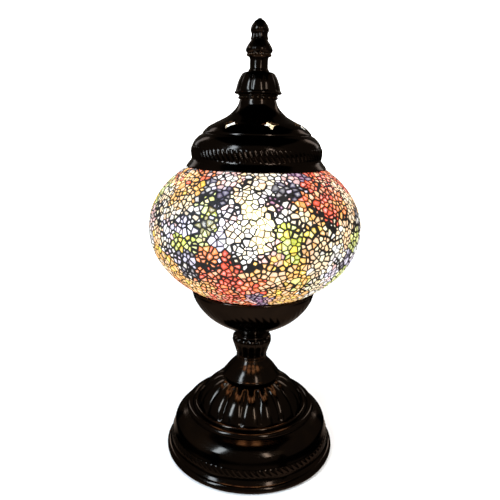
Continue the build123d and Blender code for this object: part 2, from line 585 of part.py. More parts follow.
# ---------------------------------------------------------------- finial
with BuildPart() as neck_ring:
    turn(ring_face(STUD_HOLE_R, NECK_RING_R, CAP_CROWN_Z, NECK_FLANGE_Z))
    turn(bead_face(NECK_RING_R, NECK_RING_Z, NECK_RING_SIZE))
    turn(ring_face(STUD_HOLE_R, NECK_FLANGE_R, NECK_FLANGE_Z, BELL_Z))
finish(neck_ring.part, "neck_ring")

with BuildPart() as finial_bell:
    turn(turned_face(BELL_OUTLINE))
    turn_away(turned_face(below(inset(BELL_OUTLINE, THIN_WALL), BELL_TOP_Z - THIN_WALL)))
    turn_away(ring_face(0, STUD_HOLE_R, BELL_Z, BELL_TOP_Z))
finish(finial_bell.part, "finial_bell")

with BuildPart() as finial_tube:
    turn(polygon_face((STUD_HOLE_R, BELL_TOP_Z), (FINIAL_TUBE_R + 0.6, BELL_TOP_Z),
                      (FINIAL_TUBE_R, BELL_TOP_Z + 2.4), (FINIAL_TUBE_R, FINIAL_TUBE_TOP_Z),
                      (STUD_HOLE_R, FINIAL_TUBE_TOP_Z)))
finish(finial_tube.part, "finial_tube")

with BuildPart() as finial_ring:
    turn(ring_face(STUD_HOLE_R, FINIAL_RING_R, FINIAL_TUBE_TOP_Z, FINIAL_RING_TOP_Z))
    turn(bead_face(FINIAL_RING_R, FINIAL_TUBE_TOP_Z + FINIAL_RING_SIZE, FINIAL_RING_SIZE))
finish(finial_ring.part, "finial_ring")

with BuildPart() as finial_knob:
    with BuildSketch(Plane.XZ):
        with BuildLine():
            Spline(*KNOB_OUTLINE)
            Polyline(KNOB_OUTLINE[-1], (0, TOTAL_HEIGHT), (0, KNOB_OUTLINE[0][1]), KNOB_OUTLINE[0])
        make_face()
    revolve(axis=Axis.Z)
    turn_away(ring_face(0, KNOB_BORE_R, KNOB_OUTLINE[0][1], KNOB_BORE_TOP_Z))
finish(finial_knob.part, "finial_knob")
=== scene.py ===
import math
import random

import bpy
import bmesh
import numpy as np
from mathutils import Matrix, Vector
from mathutils.kdtree import KDTree


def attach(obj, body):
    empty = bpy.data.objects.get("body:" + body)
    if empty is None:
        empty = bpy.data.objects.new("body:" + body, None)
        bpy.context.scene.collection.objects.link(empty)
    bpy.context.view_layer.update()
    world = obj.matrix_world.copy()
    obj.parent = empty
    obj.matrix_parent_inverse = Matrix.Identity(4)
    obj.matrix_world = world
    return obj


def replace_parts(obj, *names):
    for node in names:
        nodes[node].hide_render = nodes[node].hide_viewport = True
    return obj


# Mosaic glass table lamp. The CAD frame gives every place and size; this script adds the looks:
# castings with their flutes and rope bands, the globe's glass chips and grout, materials and light.
# Lengths of the outlines are in millimetres and are scaled to metres when a mesh is made.

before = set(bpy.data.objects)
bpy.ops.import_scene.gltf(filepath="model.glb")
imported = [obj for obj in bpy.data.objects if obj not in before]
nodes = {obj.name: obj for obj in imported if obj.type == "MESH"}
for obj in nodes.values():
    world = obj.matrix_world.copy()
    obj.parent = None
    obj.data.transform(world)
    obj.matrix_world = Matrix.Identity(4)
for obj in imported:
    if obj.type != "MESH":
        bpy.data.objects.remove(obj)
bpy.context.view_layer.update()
MM = 0.001
SHARP_DEG, CAD_SHARP_DEG, LEAF_SHARP_DEG = 38, 35, 30
SAME_POINT = 0.01


# ---- outlines
def arc(centre, radius, first_deg, last_deg, steps):
    """Points on a circle of the meridian plane, as (radius, height)."""
    angles = np.radians(np.linspace(first_deg, last_deg, steps + 1))
    return [(centre[0] + radius * math.cos(a), centre[1] + radius * math.sin(a)) for a in angles]


def smooth(points, steps):
    """A smooth curve through the points, by cubic steps between neighbours."""
    p = [np.array(q, float) for q in points]
    p = [2 * p[0] - p[1]] + p + [2 * p[-1] - p[-2]]
    made = []
    for a, b, c, d in zip(p, p[1:], p[2:], p[3:]):
        for t in np.linspace(0, 1, steps, endpoint=False):
            made.append(tuple(0.5 * (2 * b + (c - a) * t + (2 * a - 5 * b + 4 * c - d) * t**2
                                     + (3 * b - a - 3 * c + d) * t**3)))
    return made + [tuple(p[-2])]


def line(a, b, steps):
    """Evenly spaced points from a to b."""
    return [(a[0] + (b[0] - a[0]) * t, a[1] + (b[1] - a[1]) * t) for t in np.linspace(0, 1, steps + 1)]


def joined(*runs):
    """Runs of points end to end, without repeated points."""
    made = []
    for run in runs:
        for q in run:
            if not made or math.dist(q, made[-1]) > SAME_POINT:
                made.append(q)
    return made


def ridge(turns, sharpness=2.0):
    """A row of convex lobes, 1 at each lobe's crest and 0 in the groove between lobes."""
    f = turns - np.floor(turns)
    return 1 - np.abs(2 * f - 1) ** sharpness


def lobe_turns(count, angle, first_deg=90.0):
    """Where an angle stands in a row of lobes, one of them centred on the front."""
    return count * (angle + math.radians(first_deg)) / (2 * math.pi) + 0.5


def swell(value, low, high, softness=0.5):
    """0 outside low..high, rising smoothly to 1 inside."""
    t = np.clip((value - low) / (high - low), 0, 1)
    return np.sin(math.pi * t) ** softness


# ---- mesh makers
def linked(name, data):
    """A new object in the scene."""
    made = bpy.data.objects.new(name, data)
    bpy.context.scene.collection.objects.link(made)
    return made


def shaded(mesh, sharp_deg):
    """Smooth shading, with edges sharper than an angle left hard."""
    mesh.shade_smooth()
    mesh.set_sharp_from_angle(angle=math.radians(sharp_deg))


def new_object(name, mesh, body, materials):
    """A finished mesh as a piece that rides on a body."""
    piece = linked(name, mesh)
    for material in materials:
        mesh.materials.append(material)
    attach(piece, body)
    return piece


def lathe(name, loop, segments, relief=None, sharp_deg=SHARP_DEG):
    """A closed turned mesh. loop is a closed outline of (radius, height) in millimetres, outside first.
    relief(angle, radius, height) gives how far each point stands out along the outline's own normal."""
    closed_twice = math.dist(loop[0], loop[-1]) < SAME_POINT
    loop = np.array(loop[:-1] if closed_twice else loop, float)
    count = len(loop)
    before, after = np.roll(loop, 1, axis=0), np.roll(loop, -1, axis=0)
    along = after - before
    along /= np.maximum(np.linalg.norm(along, axis=1), 1e-9)[:, None]
    out = np.stack([along[:, 1], -along[:, 0]], axis=1)
    angle = np.linspace(0, 2 * math.pi, segments, endpoint=False)[:, None]
    radius = np.repeat(loop[None, :, 0], segments, axis=0)
    height = np.repeat(loop[None, :, 1], segments, axis=0)
    if relief is not None:
        lift = relief(angle, radius, height)
        radius, height = radius + lift * out[None, :, 0], height + lift * out[None, :, 1]
    points = np.stack([radius * np.cos(angle), radius * np.sin(angle), height], axis=2).reshape(-1, 3) * MM
    i = np.arange(segments)[:, None]
    j = np.arange(count)[None, :]
    i2, j2 = (i + 1) % segments, (j + 1) % count
    quads = np.stack([i * count + j, i2 * count + j, i2 * count + j2, i * count + j2], axis=2).reshape(-1, 4)
    mesh = bpy.data.meshes.new(name)
    mesh.from_pydata(points.tolist(), [], quads.tolist())
    shaded(mesh, sharp_deg)
    return mesh


def bead_ring(name, count, ring_r, height, bead_r):
    """A ring of round beads round the axis, each its own closed ball."""
    bm = bmesh.new()
    for k in range(count):
        a = 2 * math.pi * k / count
        made = bmesh.ops.create_icosphere(bm, subdivisions=2, radius=bead_r * MM)["verts"]
        for v in made:
            v.co += Vector((ring_r * math.cos(a), ring_r * math.sin(a), height)) * MM
    mesh = bpy.data.meshes.new(name)
    bm.to_mesh(mesh)
    bm.free()
    mesh.shade_smooth()
    return mesh


# ---- material makers
def material(name):
    """An empty node material with a Principled shader, as (material, nodes, links, shader)."""
    mat = bpy.data.materials.new(name)
    mat.use_nodes = True
    tree = mat.node_tree
    return mat, tree.nodes, tree.links, tree.nodes["Principled BSDF"]


def feed(links, node, inputs):
    """Links a node's inputs to sockets, or sets them to values."""
    for key, value in inputs.items():
        if isinstance(value, bpy.types.NodeSocket):
            links.new(value, node.inputs[key])
        else:
            node.inputs[key].default_value = value


def add(nodes_, links, kind, inputs=None, **settings):
    """One shader node with its settings and inputs."""
    node = nodes_.new("ShaderNode" + kind)
    for key, value in settings.items():
        setattr(node, key, value)
    feed(links, node, inputs or {})
    return node


def noise(nodes_, links, scale, detail=4.0, roughness=0.55):
    """Noise over the object's own coordinates."""
    place = add(nodes_, links, "TexCoord").outputs["Object"]
    made = add(nodes_, links, "TexNoise",
               {"Vector": place, "Scale": scale, "Detail": detail, "Roughness": roughness})
    return made.outputs["Fac"]


def ramp(nodes_, links, value, stops):
    """A colour ramp with (place, colour) stops."""
    node = add(nodes_, links, "ValToRGB", {"Fac": value})
    while len(node.color_ramp.elements) < len(stops):
        node.color_ramp.elements.new(0.5)
    for element, (at, colour) in zip(node.color_ramp.elements, stops):
        element.position = at
        element.color = (*colour, 1)
    return node.outputs["Color"]


def spread(nodes_, links, value, low, high, first=0.0, last=1.0):
    """Maps first..last to low..high."""
    inputs = {"Value": value, "From Min": first, "From Max": last, "To Min": low, "To Max": high}
    return add(nodes_, links, "MapRange", inputs).outputs["Result"]


def bump(nodes_, links, height, distance, strength):
    """A bump node's normal."""
    inputs = {"Height": height, "Distance": distance, "Strength": strength}
    return add(nodes_, links, "Bump", inputs).outputs["Normal"]


def dark_bronze():
    """Antique bronze, nearly black and glossy, browner where it has been rubbed."""
    mat, n, l, shader = material("dark_bronze")
    cloud, fine = noise(n, l, 38.0), noise(n, l, 420.0, 3.0)
    tone = ramp(n, l, cloud, [(0.3, (0.024, 0.019, 0.016)), (0.55, (0.034, 0.026, 0.021)),
                              (0.75, (0.05, 0.034, 0.023))])
    edges = add(n, l, "NewGeometry").outputs["Pointiness"]
    worn = {0: spread(n, l, edges, 0, 1, 0.52, 0.64), 6: tone, 7: (0.13, 0.08, 0.05, 1)}
    feed(l, shader, {"Base Color": add(n, l, "Mix", worn, data_type="RGBA").outputs[2], "Metallic": 1.0,
                     "Specular Tint": (0.5, 0.5, 0.5, 1), "Roughness": spread(n, l, cloud, 0.08, 0.2),
                     "Normal": bump(n, l, fine, 0.00004, 0.4)})
    return mat


def inner_enamel():
    """Pale heat-proof enamel inside the cap, a little uneven."""
    mat, n, l, shader = material("inner_enamel")
    cloud = noise(n, l, 90.0)
    feed(l, shader, {"Base Color": ramp(n, l, cloud, [(0.3, (0.86, 0.8, 0.68)), (0.7, (0.93, 0.9, 0.83))]),
                     "Roughness": spread(n, l, cloud, 0.35, 0.6), "Normal": bump(n, l, cloud, 0.00005, 0.4)})
    return mat


def bare_metal(name, colour, rough, scale=300.0):
    """Bright metal with fine working marks."""
    mat, n, l, shader = material(name)
    grain = noise(n, l, scale, 5.0)
    dark = tuple(0.78 * c for c in colour)
    feed(l, shader, {"Base Color": ramp(n, l, grain, [(0.3, dark), (0.7, colour)]), "Metallic": 1.0,
                     "Roughness": spread(n, l, grain, rough * 0.7, rough * 1.4),
                     "Normal": bump(n, l, grain, 0.00003, 0.4)})
    return mat


def moulded(name, colour, rough, scale=160.0, depth=0.00005):
    """Rubber, plastic, ceramic or insulation with a faint mottle."""
    mat, n, l, shader = material(name)
    grain = noise(n, l, scale, 4.0)
    dark = tuple(0.7 * c for c in colour)
    feed(l, shader, {"Base Color": ramp(n, l, grain, [(0.25, dark), (0.75, colour)]),
                     "Roughness": spread(n, l, grain, rough * 0.8, min(rough * 1.25, 1)),
                     "Normal": bump(n, l, grain, depth, 0.5)})
    return mat


def lit_bulb_glass():
    """Opal bulb glass, glowing."""
    mat, n, l, shader = material("lit_bulb_glass")
    cloud = noise(n, l, 60.0, 2.0)
    opal = ramp(n, l, cloud, [(0.3, (0.9, 0.86, 0.78)), (0.7, (1.0, 0.97, 0.9))])
    glow = ramp(n, l, cloud, [(0.3, (1.0, 0.84, 0.58)), (0.7, (1.0, 0.9, 0.7))])
    feed(l, shader, {"Base Color": opal, "Emission Color": glow, "Emission Strength": BULB_GLOW,
                     "Roughness": 0.3})
    return mat


def clear_glass():
    """The blown globe behind the mosaic."""
    mat, n, l, shader = material("clear_globe_glass")
    wave = noise(n, l, 30.0, 2.0)
    feed(l, shader, {"Base Color": ramp(n, l, wave, [(0.3, (0.97, 0.97, 0.95)), (0.7, (1.0, 1.0, 0.99))]),
                     "Transmission Weight": 1.0, "IOR": 1.45, "Roughness": 0.03,
                     "Normal": bump(n, l, wave, 0.0002, 0.3)})
    return mat


def chip_glass():
    """Glass chips with a painted glow, standing in for the bulb's light shining through them, in the colours
    that their meshes carry.
    """
    mat, n, l, shader = material("chip_glass")
    tint = add(n, l, "Attribute", attribute_name="chip_colour_and_painted_light").outputs["Color"]
    haze = noise(n, l, 520.0, 3.0)
    feed(l, shader, {"Base Color": tint, "Emission Color": tint,
                     "Emission Strength": spread(n, l, haze, 0.6 * CHIP_PAINTED_GLOW, 1.4 * CHIP_PAINTED_GLOW),
                     "Transmission Weight": 0.7, "IOR": 1.5, "Roughness": spread(n, l, haze, 0.15, 0.33),
                     "Normal": bump(n, l, haze, 0.00008, 0.5)})
    return mat


def dark_grout():
    """Black cement between the chips, faintly sandy."""
    mat, n, l, shader = material("dark_grout")
    sand = noise(n, l, 900.0, 4.0)
    tone = ramp(n, l, sand, [(0.3, (0.006, 0.005, 0.005)), (0.75, (0.022, 0.018, 0.016))])
    feed(l, shader, {"Base Color": tone, "Roughness": spread(n, l, sand, 0.45, 0.8),
                     "Normal": bump(n, l, sand, 0.00015, 0.8)})
    return mat


def pale_floor():
    """A plain pale studio floor, lit by itself far from the lamp so that no horizon shows."""
    mat, n, l, shader = material("pale_floor")
    cloud = noise(n, l, 6.0, 3.0)
    place = add(n, l, "TexCoord").outputs["Object"]
    away = add(n, l, "VectorMath", {0: place}, operation="LENGTH").outputs["Value"]
    feed(l, shader, {"Base Color": ramp(n, l, cloud, [(0.3, (0.93, 0.93, 0.93)), (0.7, (0.96, 0.96, 0.955))]),
                     "Roughness": 0.75, "Emission Color": (1, 1, 1, 1),
                     "Emission Strength": spread(n, l, away, 0.05, 0.9, FLOOR_NEAR, FLOOR_FAR)})
    return mat


# the bulb's own glow, then the chips' painted glow: emission that stands in for the bulb's light shining
# through the glass
BULB_GLOW, CHIP_PAINTED_GLOW = 9.0, 0.9
FLOOR_NEAR, FLOOR_FAR = 0.35, 1.3
BRONZE = dark_bronze()
INNER_ENAMEL = inner_enamel()
STEEL = bare_metal("zinc_steel", (0.62, 0.62, 0.6), 0.32)
BRASS = bare_metal("plain_brass", (0.8, 0.6, 0.28), 0.28)
BULB_METAL = bare_metal("bulb_metal", (0.8, 0.8, 0.78), 0.25)
RUBBER = moulded("black_rubber", (0.03, 0.03, 0.03), 0.6)
SILICONE = moulded("silicone", (0.55, 0.55, 0.52), 0.5)
PHENOLIC = moulded("black_phenolic", (0.025, 0.025, 0.026), 0.25)
CERAMIC = moulded("white_ceramic", (0.84, 0.83, 0.79), 0.35)
BROWN_WIRE = moulded("brown_insulation", (0.2, 0.09, 0.04), 0.4)
BLUE_WIRE = moulded("blue_insulation", (0.05, 0.13, 0.42), 0.4)
BLACK_GLASS = moulded("black_glass", (0.02, 0.02, 0.022), 0.12)
FILAMENT = bare_metal("filament", (0.6, 0.55, 0.5), 0.4)
OPAL = lit_bulb_glass()
CLEAR = clear_glass()
CHIPS = chip_glass()
GROUT = dark_grout()

CAD_LOOKS = {
    "bottom_plate": STEEL, "foot_1": RUBBER, "foot_2": RUBBER, "foot_3": RUBBER, "foot_4": RUBBER,
    "cord_grommet": RUBBER, "threaded_tube": STEEL, "base_washer": STEEL, "base_nut": STEEL,
    "cup_washer": STEEL, "cup_nut": STEEL, "lampholder_hub": BRASS, "lampholder_shell": PHENOLIC,
    "lampholder_insert": CERAMIC, "terminal_screws": BRASS, "screw_contact": BRASS, "centre_contact": BRASS,
    "lead_live": BROWN_WIRE, "lead_neutral": BLUE_WIRE, "bulb_glass": OPAL, "bulb_screw_cap": BULB_METAL,
    "bulb_insulator": BLACK_GLASS, "bulb_tip_contact": BULB_METAL, "bulb_stem": CERAMIC,
    "bulb_filament": FILAMENT, "glass_globe": CLEAR, "globe_gasket": SILICONE, "spring_strap": STEEL,
    "cap_washer": STEEL, "cap_nut": STEEL, "cap_stud": STEEL,
}
for node_name, look in CAD_LOOKS.items():
    cad_object = nodes[node_name]
    if not cad_object.material_slots:
        cad_object.data.materials.append(look)
    for material_slot in cad_object.material_slots:
        material_slot.material = look
    shaded(cad_object.data, CAD_SHARP_DEG)

# ---- metal castings
WALL, DECK_Z = 1.6, 33.1
BAND_LOW, BAND_HIGH, BAND_COUNT, BAND_SLANT, BAND_RISE = 10.4, 15.6, 88, 0.9, 0.75
BAND_INNER_R, BAND_SINK = 55.2, 0.2


def bronze_piece(name, mesh, body):
    """A finished bronze casting that rides on a body."""
    return new_object(name, mesh, body, [BRONZE])


def base_relief(angle, radius, height):
    """Slanted rope ridges round the wall, cut into a band that stands a little proud."""
    inside = (height > BAND_LOW) & (height < BAND_HIGH) & (radius > BAND_INNER_R)
    turns = BAND_COUNT * angle / (2 * math.pi) + BAND_SLANT * (height - BAND_LOW) / (BAND_HIGH - BAND_LOW)
    return np.where(inside, swell(height, BAND_LOW, BAND_HIGH) * (BAND_RISE * ridge(turns) - BAND_SINK), 0.0)


base_loop = joined(
    arc((57.6, 3.2), 2.8, -90, 75.5, 16),
    smooth([(58.3, 5.91), (57.0, 8.2), (56.6, 10.2)], 5),
    smooth([(56.6, 10.2), (56.5, 11.4), (56.35, 13.0), (56.1, 14.6), (55.95, 15.8)], 6),
    smooth([(55.95, 15.8), (55.3, 18.0), (54.3, 22.0), (53.0, 24.6), (50.0, 27.6), (46.7, 29.8)], 5),
    arc((43.4, 31.8), 2.6, -30, 150, 16),
    line((41.148, DECK_Z), (40.1, DECK_Z), 1),
    arc((38.9, 33.6), 1.3, -22.6, 202.6, 10),
    line((37.7, DECK_Z), (5.2, DECK_Z), 4),
    line((5.2, DECK_Z - WALL), (40.5, DECK_Z - WALL), 4),
    [(44.8, 28.7), (48.7, 26.3), (51.5, 23.4), (52.7, 21.4), (53.7, 17.6), (54.3, 13.5), (54.3, 3.4),
     (55.2, 3.4), (55.2, 2.0), (53.6, 2.0), (53.6, 0.9)],
)
base_mesh = lathe("base_casing", base_loop, BAND_COUNT * 8, base_relief)
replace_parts(bronze_piece("base_casing", base_mesh, "stand"), "base_shell")

LOBES, LOBE_DEPTH, LOBE_SHIFT_DEG, LOBE_LOW, LOBE_HIGH = 16, 1.7, 1.4, 33.6, 54.2
# heights and radii of a line halfway through the dome's wall
DOME_MID = ([33.0, 40.0, 46.0, 50.0, 54.1], [35.9, 33.6, 29.5, 25.0, 14.0])
dome_outer = smooth([(37.3, DECK_Z), (37.2, 34.2), (36.5, 36.6), (34.5, 41.2), (31.0, 46.0), (26.5, 50.0),
                     (22.0, 52.8), (18.8, 54.0)], 7)


def dome_relief(angle, radius, height):
    """Sixteen convex lobes with narrow grooves that run out at the foot and the neck."""
    outside = radius > np.interp(height, *DOME_MID)
    foot, neck = np.clip((height - LOBE_LOW) / 2.2, 0, 1) ** 0.6, np.clip((LOBE_HIGH - height) / 2.0, 0.35, 1)
    turns = lobe_turns(LOBES, angle, 90 - LOBE_SHIFT_DEG)
    return np.where(outside, LOBE_DEPTH * foot * neck * (ridge(turns, 2.6) - 1), 0.0)


dome_loop = joined(
    dome_outer, line((18.8, 54.0), (5.2, 54.0), 2), line((5.2, 52.4), (15.5, 52.4), 2),
    smooth([(15.5, 52.4), (22.0, 49.8), (27.5, 45.6), (31.6, 40.4), (33.6, 36.0), (34.2, DECK_Z)], 4),
    line((34.2, DECK_Z), (37.3, DECK_Z), 1))
dome_mesh = lathe("dome_casting", dome_loop, LOBES * 26, dome_relief)
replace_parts(bronze_piece("dome_casting", dome_mesh, "stand"), "fluted_dome")

collar_loop = joined(
    smooth([(18.4, 54.0), (19.2, 54.6), (20.1, 55.6), (20.2, 56.3), (19.8, 56.9)], 4),
    smooth([(19.5, 57.1), (18.5, 58.6), (17.0, 60.8), (14.8, 63.4), (12.2, 66.1), (10.4, 68.4)], 7),
    arc((10.0, 68.5), 0.5, -60, 90, 5), line((10.0, 69.0), (5.2, 69.0), 1), line((5.2, 67.2), (9.6, 67.0), 1),
    smooth([(9.6, 67.0), (13.0, 62.8), (15.6, 59.4), (16.8, 56.4), (17.0, 54.0)], 5),
    line((17.0, 54.0), (18.6, 54.0), 1))
collar_mesh = lathe("collar_casting", collar_loop, 160)
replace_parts(bronze_piece("collar_casting", collar_mesh, "stand"), "bell_collar")

KNOP_LOBES, KNOP_LOW, KNOP_HIGH, BORE_R = 14, 71.2, 85.4, 6.0


def knop_relief(angle, radius, height):
    """Gadroons that swell towards the shoulder, with a plain collar above and below."""
    fade = np.clip((height - KNOP_LOW) / 1.5, 0, 1) * np.clip((KNOP_HIGH - height) / 1.0, 0, 1)
    depth = fade * (0.5 + (height - 71) * 0.05)
    return np.where(radius > BORE_R, depth * (ridge(lobe_turns(KNOP_LOBES, angle), 2.2) - 1), 0.0)


knop_loop = joined(
    [(9.8, 69.0)], arc((10.0, 70.1), 0.8, -80, 80, 6),
    smooth([(10.1, 71.2), (11.0, 73.0), (12.3, 77.0), (13.5, 80.6), (13.9, 82.8), (13.3, 84.6),
            (12.2, 85.4)], 8),
    smooth([(12.0, 85.5), (12.3, 86.2), (11.6, 87.2), (11.0, 88.0)], 4),
    line((11.0, 88.0), (5.2, 88.0), 1), line((5.2, 69.0), (9.8, 69.0), 1))
knop_mesh = lathe("knop_casting", knop_loop, KNOP_LOBES * 20, knop_relief)
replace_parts(bronze_piece("knop_casting", knop_mesh, "stand"), "neck_knop")

CUP_BAND_LOW, CUP_BAND_HIGH, CUP_GADROONS = 107.0, 117.0, 56
GADROON_SINK = 0.35


def slanted_band(low, high, count, slant, rise, least_radius):
    """A relief of slanted gadroons between two heights, outside a radius."""
    def relief(angle, radius, height):
        inside = (height > low) & (height < high) & (radius > least_radius(height))
        turns = count * angle / (2 * math.pi) + slant * (height - low) / (high - low)
        return np.where(inside, swell(height, low, high) * rise * (ridge(turns) - GADROON_SINK), 0.0)
    return relief


cup_outer = smooth([(11.0, 88.0), (12.6, 89.8), (15.9, 91.8), (22.0, 95.4), (27.6, 98.9), (32.6, 103.0),
                    (37.0, 108.2), (40.3, 114.0), (41.7, 118.0), (42.1, 120.4)], 7)
cup_loop = joined(
    cup_outer, arc((42.0, 121.3), 0.9, -70, 80, 7), smooth([(42.2, 122.2), (42.35, 122.7), (42.3, 123.0)], 2),
    [(41.2, 122.35), (40.5, 121.7), (40.3, 118.6)],
    smooth([(40.3, 118.6), (38.9, 114.6), (35.7, 109.1), (31.4, 104.2), (26.7, 100.3), (21.2, 96.8),
            (15.2, 93.3), (11.6, 91.0)], 4),
    line((9.6, 89.7), (5.2, 89.6), 1), line((5.2, 88.0), (11.0, 88.0), 1))
cup_relief = slanted_band(CUP_BAND_LOW, CUP_BAND_HIGH, CUP_GADROONS, 1.2, 0.3,
                          lambda h: np.interp(h, [103, 108.2, 114, 119], [31.4, 35.9, 39.5, 41.0]))
cup_mesh = lathe("cup_casting", cup_loop, CUP_GADROONS * 10, cup_relief)
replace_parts(bronze_piece("cup_casting", cup_mesh, "stand"), "globe_cup")

# ---- cap with its stars
CAP_BAND_LOW, CAP_BAND_HIGH, CAP_GADROONS, CAP_CEILING_Z = 207.9, 215.4, 80, 242.9
cap_outer = joined(
    smooth([(45.2, 202.75), (45.0, 203.4), (43.6, 205.2), (42.2, 207.0), (41.6, 208.4)], 6),
    smooth([(41.6, 208.4), (41.75, 210.4), (41.85, 212.6), (41.7, 214.8)], 7),
    smooth([(41.7, 214.8), (41.2, 216.4), (39.8, 219.0), (37.4, 221.5), (35.2, 222.9), (34.7, 223.4)], 6),
    smooth([(34.7, 223.4), (34.5, 224.2), (33.5, 225.4), (31.4, 227.4), (27.8, 229.7), (23.0, 232.0),
            (18.5, 234.6), (15.0, 237.8), (12.6, 241.0), (11.6, 244.2)], 6))
cap_loop = joined(
    cap_outer, line((11.6, 244.2), (3.2, 244.2), 2), line((3.2, 242.8), (10.3, 242.8), 1),
    smooth([(10.3, 242.8), (11.4, 240.2), (13.9, 236.8), (17.7, 233.4), (22.4, 230.7), (27.1, 228.5),
            (30.5, 226.3), (32.4, 224.3), (33.4, 222.6)], 3),
    smooth([(33.4, 222.6), (36.6, 220.3), (38.6, 218.2), (39.9, 215.8), (40.4, 212.4), (40.1, 209.2),
            (40.8, 206.7), (42.1, 204.6)], 3))
cap_relief = slanted_band(CAP_BAND_LOW, CAP_BAND_HIGH, CAP_GADROONS, 1.1, 0.75, lambda h: 41.0 + 0 * h)
cap_mesh = lathe("cap_casting", cap_loop, CAP_GADROONS * 7, cap_relief)
cap_piece = bronze_piece("cap_casting", cap_mesh, "cap")
cap_mesh.materials.append(INNER_ENAMEL)

STAR_COUNT, STAR_R, STAR_Z, STAR_TIP, STAR_ARM, STAR_WAIST = 7, 27.6, 229.8, 5.7, 3.5, 2.7
STAR_FIRST_DEG, STAR_TILT_DEG, STAR_DEPTH, STAR_CORNERS = -74.2, 58.5, 3.4, 16


def star_cutter():
    """Seven four-pointed prisms that point out of the cap, as one mesh to cut it with."""
    bm = bmesh.new()
    for k in range(STAR_COUNT):
        azimuth = math.radians(STAR_FIRST_DEG + 360 * k / STAR_COUNT)
        tilt = math.radians(STAR_TILT_DEG)
        out = Vector((math.cos(azimuth) * math.cos(tilt), math.sin(azimuth) * math.cos(tilt), math.sin(tilt)))
        across = Vector((-math.sin(azimuth), math.cos(azimuth), 0))
        up = out.cross(across)
        centre = Vector((STAR_R * math.cos(azimuth), STAR_R * math.sin(azimuth), STAR_Z))
        rings = []
        for depth in (-STAR_DEPTH, STAR_DEPTH):
            ring = []
            for corner in range(STAR_CORNERS):
                reach = (STAR_TIP, STAR_ARM, STAR_WAIST, STAR_ARM)[corner % 4]
                a = 2 * math.pi * corner / STAR_CORNERS
                place = centre + out * depth + across * reach * math.cos(a) + up * reach * math.sin(a)
                ring.append(bm.verts.new(place * MM))
            rings.append(ring)
        bm.faces.new(rings[0][::-1])
        bm.faces.new(rings[1])
        for i in range(STAR_CORNERS):
            j = (i + 1) % STAR_CORNERS
            bm.faces.new((rings[0][i], rings[0][j], rings[1][j], rings[1][i]))
    bmesh.ops.recalc_face_normals(bm, faces=bm.faces)
    mesh = bpy.data.meshes.new("star_cutter")
    bm.to_mesh(mesh)
    bm.free()
    return mesh


cutter = linked("star_cutter", star_cutter())
cut = cap_piece.modifiers.new("stars", "BOOLEAN")
cut.operation = "DIFFERENCE"
cut.object = cutter
cut.solver = "EXACT"
bpy.context.view_layer.update()
cut_mesh = bpy.data.meshes.new_from_object(cap_piece.evaluated_get(bpy.context.evaluated_depsgraph_get()))
cap_piece.modifiers.clear()
cap_piece.data = cut_mesh
bpy.data.objects.remove(cutter)
for face in cut_mesh.polygons:
    inward = face.center.x * face.normal.x + face.center.y * face.normal.y + 0.02 * face.normal.z < 0
    face.material_index = 1 if inward and face.center.z < CAP_CEILING_Z * MM else 0
shaded(cut_mesh, SHARP_DEG)
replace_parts(cap_piece, "cap_dome")

# ---- finial
ring_loop = joined(
    line((11.0, 244.2), (11.4, 244.5), 1), line((11.4, 244.5), (11.4, 246.7), 2),
    arc((12.2, 247.2), 0.45, -90, 90, 6), line((12.2, 247.65), (3.2, 247.65), 1),
    line((3.2, 244.2), (11.0, 244.2), 1))
ring_mesh = lathe("neck_ring_band", ring_loop, 128)
ring_piece = bronze_piece("neck_ring_band", ring_mesh, "cap")
neck_bead_mesh = bead_ring("neck_ring_beads", 20, 11.5, 245.6, 1.1)
bronze_piece("neck_ring_beads", neck_bead_mesh, "cap")
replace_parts(ring_piece, "neck_ring")

BELL_LOBES, BELL_LOW, BELL_HIGH, BELL_DEPTH = 10, 249.4, 260.2, 0.45
# heights and radii of a line halfway through the bell's wall
BELL_MID = ([247, 253, 257, 261.5], [13.4, 12.4, 10.6, 5.0])


def bell_relief(angle, radius, height):
    """Soft petals that widen towards the bell's rim."""
    outside = radius > np.interp(height, *BELL_MID)
    fade = np.clip((height - BELL_LOW) / 1.0, 0, 1) * np.clip((BELL_HIGH - height) / 3.0, 0, 1)
    return np.where(outside, BELL_DEPTH * fade * (ridge(lobe_turns(BELL_LOBES, angle), 2.4) - 1), 0.0)


bell_loop = joined(
    smooth([(14.1, 247.8), (14.9, 248.3), (14.8, 249.0), (14.4, 249.4)], 4),
    smooth([(14.3, 249.6), (13.8, 252.0), (12.9, 255.0), (11.7, 257.7), (10.3, 259.8), (8.6, 260.8),
            (7.0, 261.0)], 6),
    line((7.0, 261.0), (3.2, 261.0), 1), line((3.2, 259.6), (7.6, 259.4), 1),
    smooth([(7.6, 259.4), (10.2, 256.6), (11.8, 252.6), (12.6, 247.8)], 4),
    line((12.6, 247.8), (14.1, 247.8), 1))
bell_mesh = lathe("bell_casting", bell_loop, 200, bell_relief)
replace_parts(bronze_piece("bell_casting", bell_mesh, "cap"), "finial_bell")

tube_loop = joined(
    arc((6.0, 261.6), 0.6, -90, 60, 5), smooth([(6.2, 262.2), (5.8, 263.0), (5.65, 264.4), (5.65, 268.2)], 4),
    smooth([(5.65, 268.2), (5.9, 269.2), (6.3, 270.0)], 3), line((6.3, 270.0), (3.2, 270.0), 1),
    line((3.2, 261.0), (6.0, 261.0), 1))
tube_mesh = lathe("finial_spacer", tube_loop, 96)
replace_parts(bronze_piece("finial_spacer", tube_mesh, "cap"), "finial_tube")

bead_disc_loop = joined(line((3.2, 270.0), (6.7, 270.05), 1), line((6.7, 271.95), (3.2, 272.0), 1))
bead_disc_mesh = lathe("finial_bead_disc", bead_disc_loop, 96)
bead_disc = bronze_piece("finial_bead_disc", bead_disc_mesh, "cap")
bead_mesh = bead_ring("finial_beads", 22, 6.85, 271.0, 0.95)
bronze_piece("finial_beads", bead_mesh, "cap")
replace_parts(bead_disc, "finial_ring")

